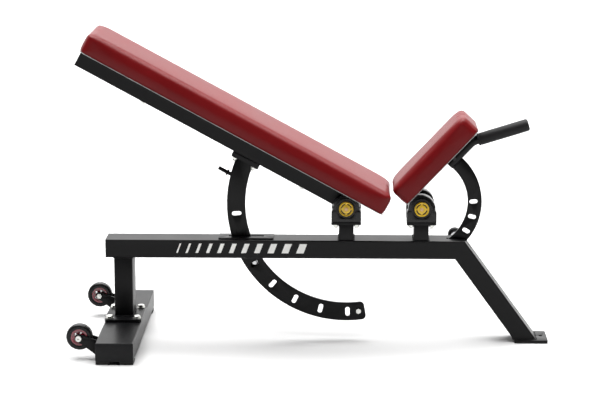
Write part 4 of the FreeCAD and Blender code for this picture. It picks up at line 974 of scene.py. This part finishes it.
def makePad(name):
    size = pads[name]
    piece = pieceOf(f"{name}Cushion", padShell(f"{name}Cushion", size))
    remesh = piece.modifiers.new("voxels", "REMESH")
    remesh.mode, remesh.voxel_size = "VOXEL", size["voxel"] * mm
    freeze(piece, 180)
    swell(piece, size)
    finishPad(piece, size)
    piece.data.materials.clear()
    piece.data.materials.append(vinyl)
    piece.data.transform(size["place"])
    stand(piece, size["body"], "red_vinyl", f"{name}_pad")
    print(name, "pad:", len(piece.data.polygons), "faces")


highlightBead = {"radius": 0.8, "lift": 0.7, "inside": 1.0}
stapleSizes = {"legs": 0.9 * mm, "long": 10.0 * mm, "pitch": 26.0 * mm}
wrapShape = {"margin": 30.0, "lowest": 0.5}


# thin closed bead along a plan ring
def sweepRing(name, ring, height, radius, place, sides=8):
    points, faces = [], []
    count = len(ring)
    for number in range(count):
        here = Vector(ring[number])
        ahead, behind = Vector(ring[(number + 1) % count]), Vector(ring[number - 1])
        tangent = (ahead - behind).normalized()
        out = Vector((tangent.y, -tangent.x))
        for side in range(sides):
            angle = 2 * math.pi * side / sides
            spot = here + out * radius * math.cos(angle)
            points.append((spot.x * mm, spot.y * mm, (height + radius * math.sin(angle)) * mm))
    for number in range(count):
        for side in range(sides):
            a, b = number * sides + side, number * sides + (side + 1) % sides
            c, d = ((number + 1) % count) * sides + side, ((number + 1) % count) * sides + (side + 1) % sides
            faces.append((a, b, d, c))
    mesh = tidyMesh(meshOf(name, points, faces), 1e-7)
    mesh.transform(place)
    return mesh


def stapleTree():
    tree, given, out = newTree("stapleRows", stapleSizes)
    line = addNode(tree, "GeometryNodeMeshToCurve", {}, {"Mesh": given["Geometry"]})
    spots = addNode(tree, "GeometryNodeCurveToPoints", {},
                    {"Curve": line.outputs["Curve"], "Length": given["pitch"]}, mode="LENGTH")
    size = addNode(tree, "ShaderNodeCombineXYZ", {},
                   {"X": given["legs"], "Y": given["legs"], "Z": given["long"]})
    bar = addNode(tree, "GeometryNodeMeshCube", {}, {"Size": size.outputs[0]})
    placed = addNode(tree, "GeometryNodeInstanceOnPoints", {}, {
        "Points": spots.outputs["Points"], "Instance": bar.outputs["Mesh"],
        "Rotation": spots.outputs["Rotation"]})
    real = addNode(tree, "GeometryNodeRealizeInstances", {}, {"Geometry": placed.outputs["Instances"]})
    painted = addNode(tree, "GeometryNodeSetMaterial", {}, {
        "Geometry": real.outputs["Geometry"], "Material": given["Paint"]})
    tree.links.new(painted.outputs["Geometry"], out[0])
    return tree


stapleTrees = stapleTree()


# vinyl turned under the board, its staples and a thin bead round the edge, coloured pale grey as a painted
# highlight along the lower edge
def makeUnderside(name):
    size = pads[name]
    half, low = size["wide"] / 2, size["low"]
    outer = planRing(size["rear"] + 4, size["front"] - 4, half - 4, padding["corner"] - 4)
    margin = wrapShape["margin"]
    inner = planRing(size["rear"] + margin, size["front"] - margin, half - margin, 12)
    count = len(outer)
    points, faces = [], []
    for ring, height in ((outer, low + 0.4), (outer, low - wrapShape["lowest"]),
                         (inner, low - wrapShape["lowest"]), (inner, low + 0.4)):
        points += [(x * mm, y * mm, height * mm) for x, y in ring]
    for level in range(4):
        for step in range(count):
            a, b = level * count + step, level * count + (step + 1) % count
            c, d = ((level + 1) % 4) * count + step, ((level + 1) % 4) * count + (step + 1) % count
            faces.append((a, c, d, b))
    mesh = tidyMesh(meshOf(f"{name}Wrap", points, faces), 1e-7)
    mesh.transform(size["place"])
    piece = pieceOf(f"{name}VinylWrap", mesh, vinyl)
    shade(mesh, 30)
    stand(piece, size["body"], "red_vinyl")

    # the bead's pale grey is a painted highlight standing in for the light line along the pad's lower edge
    inside = highlightBead["inside"]
    edge = planRing(size["rear"] + inside, size["front"] - inside, half - inside, padding["corner"] - inside)
    bead = sweepRing(f"{name}HighlightBead", edge, low + highlightBead["lift"], highlightBead["radius"], size["place"])
    piece = pieceOf(f"{name}EdgeHighlightBead", bead, edgeHighlightGrey)
    shade(bead, 60)
    stand(piece, size["body"], "red_vinyl")

    track = planRing(size["rear"] + 20, size["front"] - 20, half - 20, 14)
    mesh = bpy.data.meshes.new(f"{name}Staples")
    mesh.from_pydata([(x * mm, y * mm, (low - 0.7) * mm) for x, y in track],
                     [(n, (n + 1) % count) for n in range(count)], [])
    piece = grow(pieceOf(f"{name}Staples", mesh), stapleTrees, stapleSizes, zinc)
    piece.data.transform(size["place"])
    stand(piece, size["body"], "zinc_fasteners")


for name in pads:
    makePad(name)
    makeUnderside(name)


# plain striped decal on both faces of the rail, growing wider towards the front

stripes = {"start": -367.0, "end": -11.0, "low": 246.5, "high": 272.5, "count": 11, "slant": 10.0,
           "thin": 4.0, "wide": 20.0, "lift": 0.12, "sunk": 0.3}


def makeDecal():
    railSide = box("main_rail")[1].y
    count = stripes["count"]
    widths = [stripes["thin"] + (stripes["wide"] - stripes["thin"]) * n / (count - 1) for n in range(count)]
    room = stripes["end"] - stripes["start"] - stripes["slant"] - sum(widths)
    gap = room / (count - 1)
    points, faces = [], []
    for side in (-1, 1):
        left = stripes["start"]
        for wide in widths:
            first = len(points)
            face = side * (railSide + stripes["lift"] * mm)
            inner = side * (railSide - stripes["sunk"] * mm)
            top = left + stripes["slant"]
            quad = [(left, stripes["low"]), (left + wide, stripes["low"]),
                    (top + wide, stripes["high"]), (top, stripes["high"])]
            for depth in (face, inner):
                points += [(x * mm, depth, z * mm) for x, z in quad]
            faces.append(tuple(range(first, first + 4)))
            faces.append(tuple(range(first + 7, first + 3, -1)))
            for n in range(4):
                after = (n + 1) % 4
                faces.append((first + n, first + 4 + n, first + 4 + after, first + after))
            left += wide + gap
    piece = pieceOf("railStripes", tidyMesh(meshOf("railStripes", points, faces), 1e-7), decal)
    stand(piece, "frame", "black_powder_coat")


makeDecal()
print("pads and decal made")
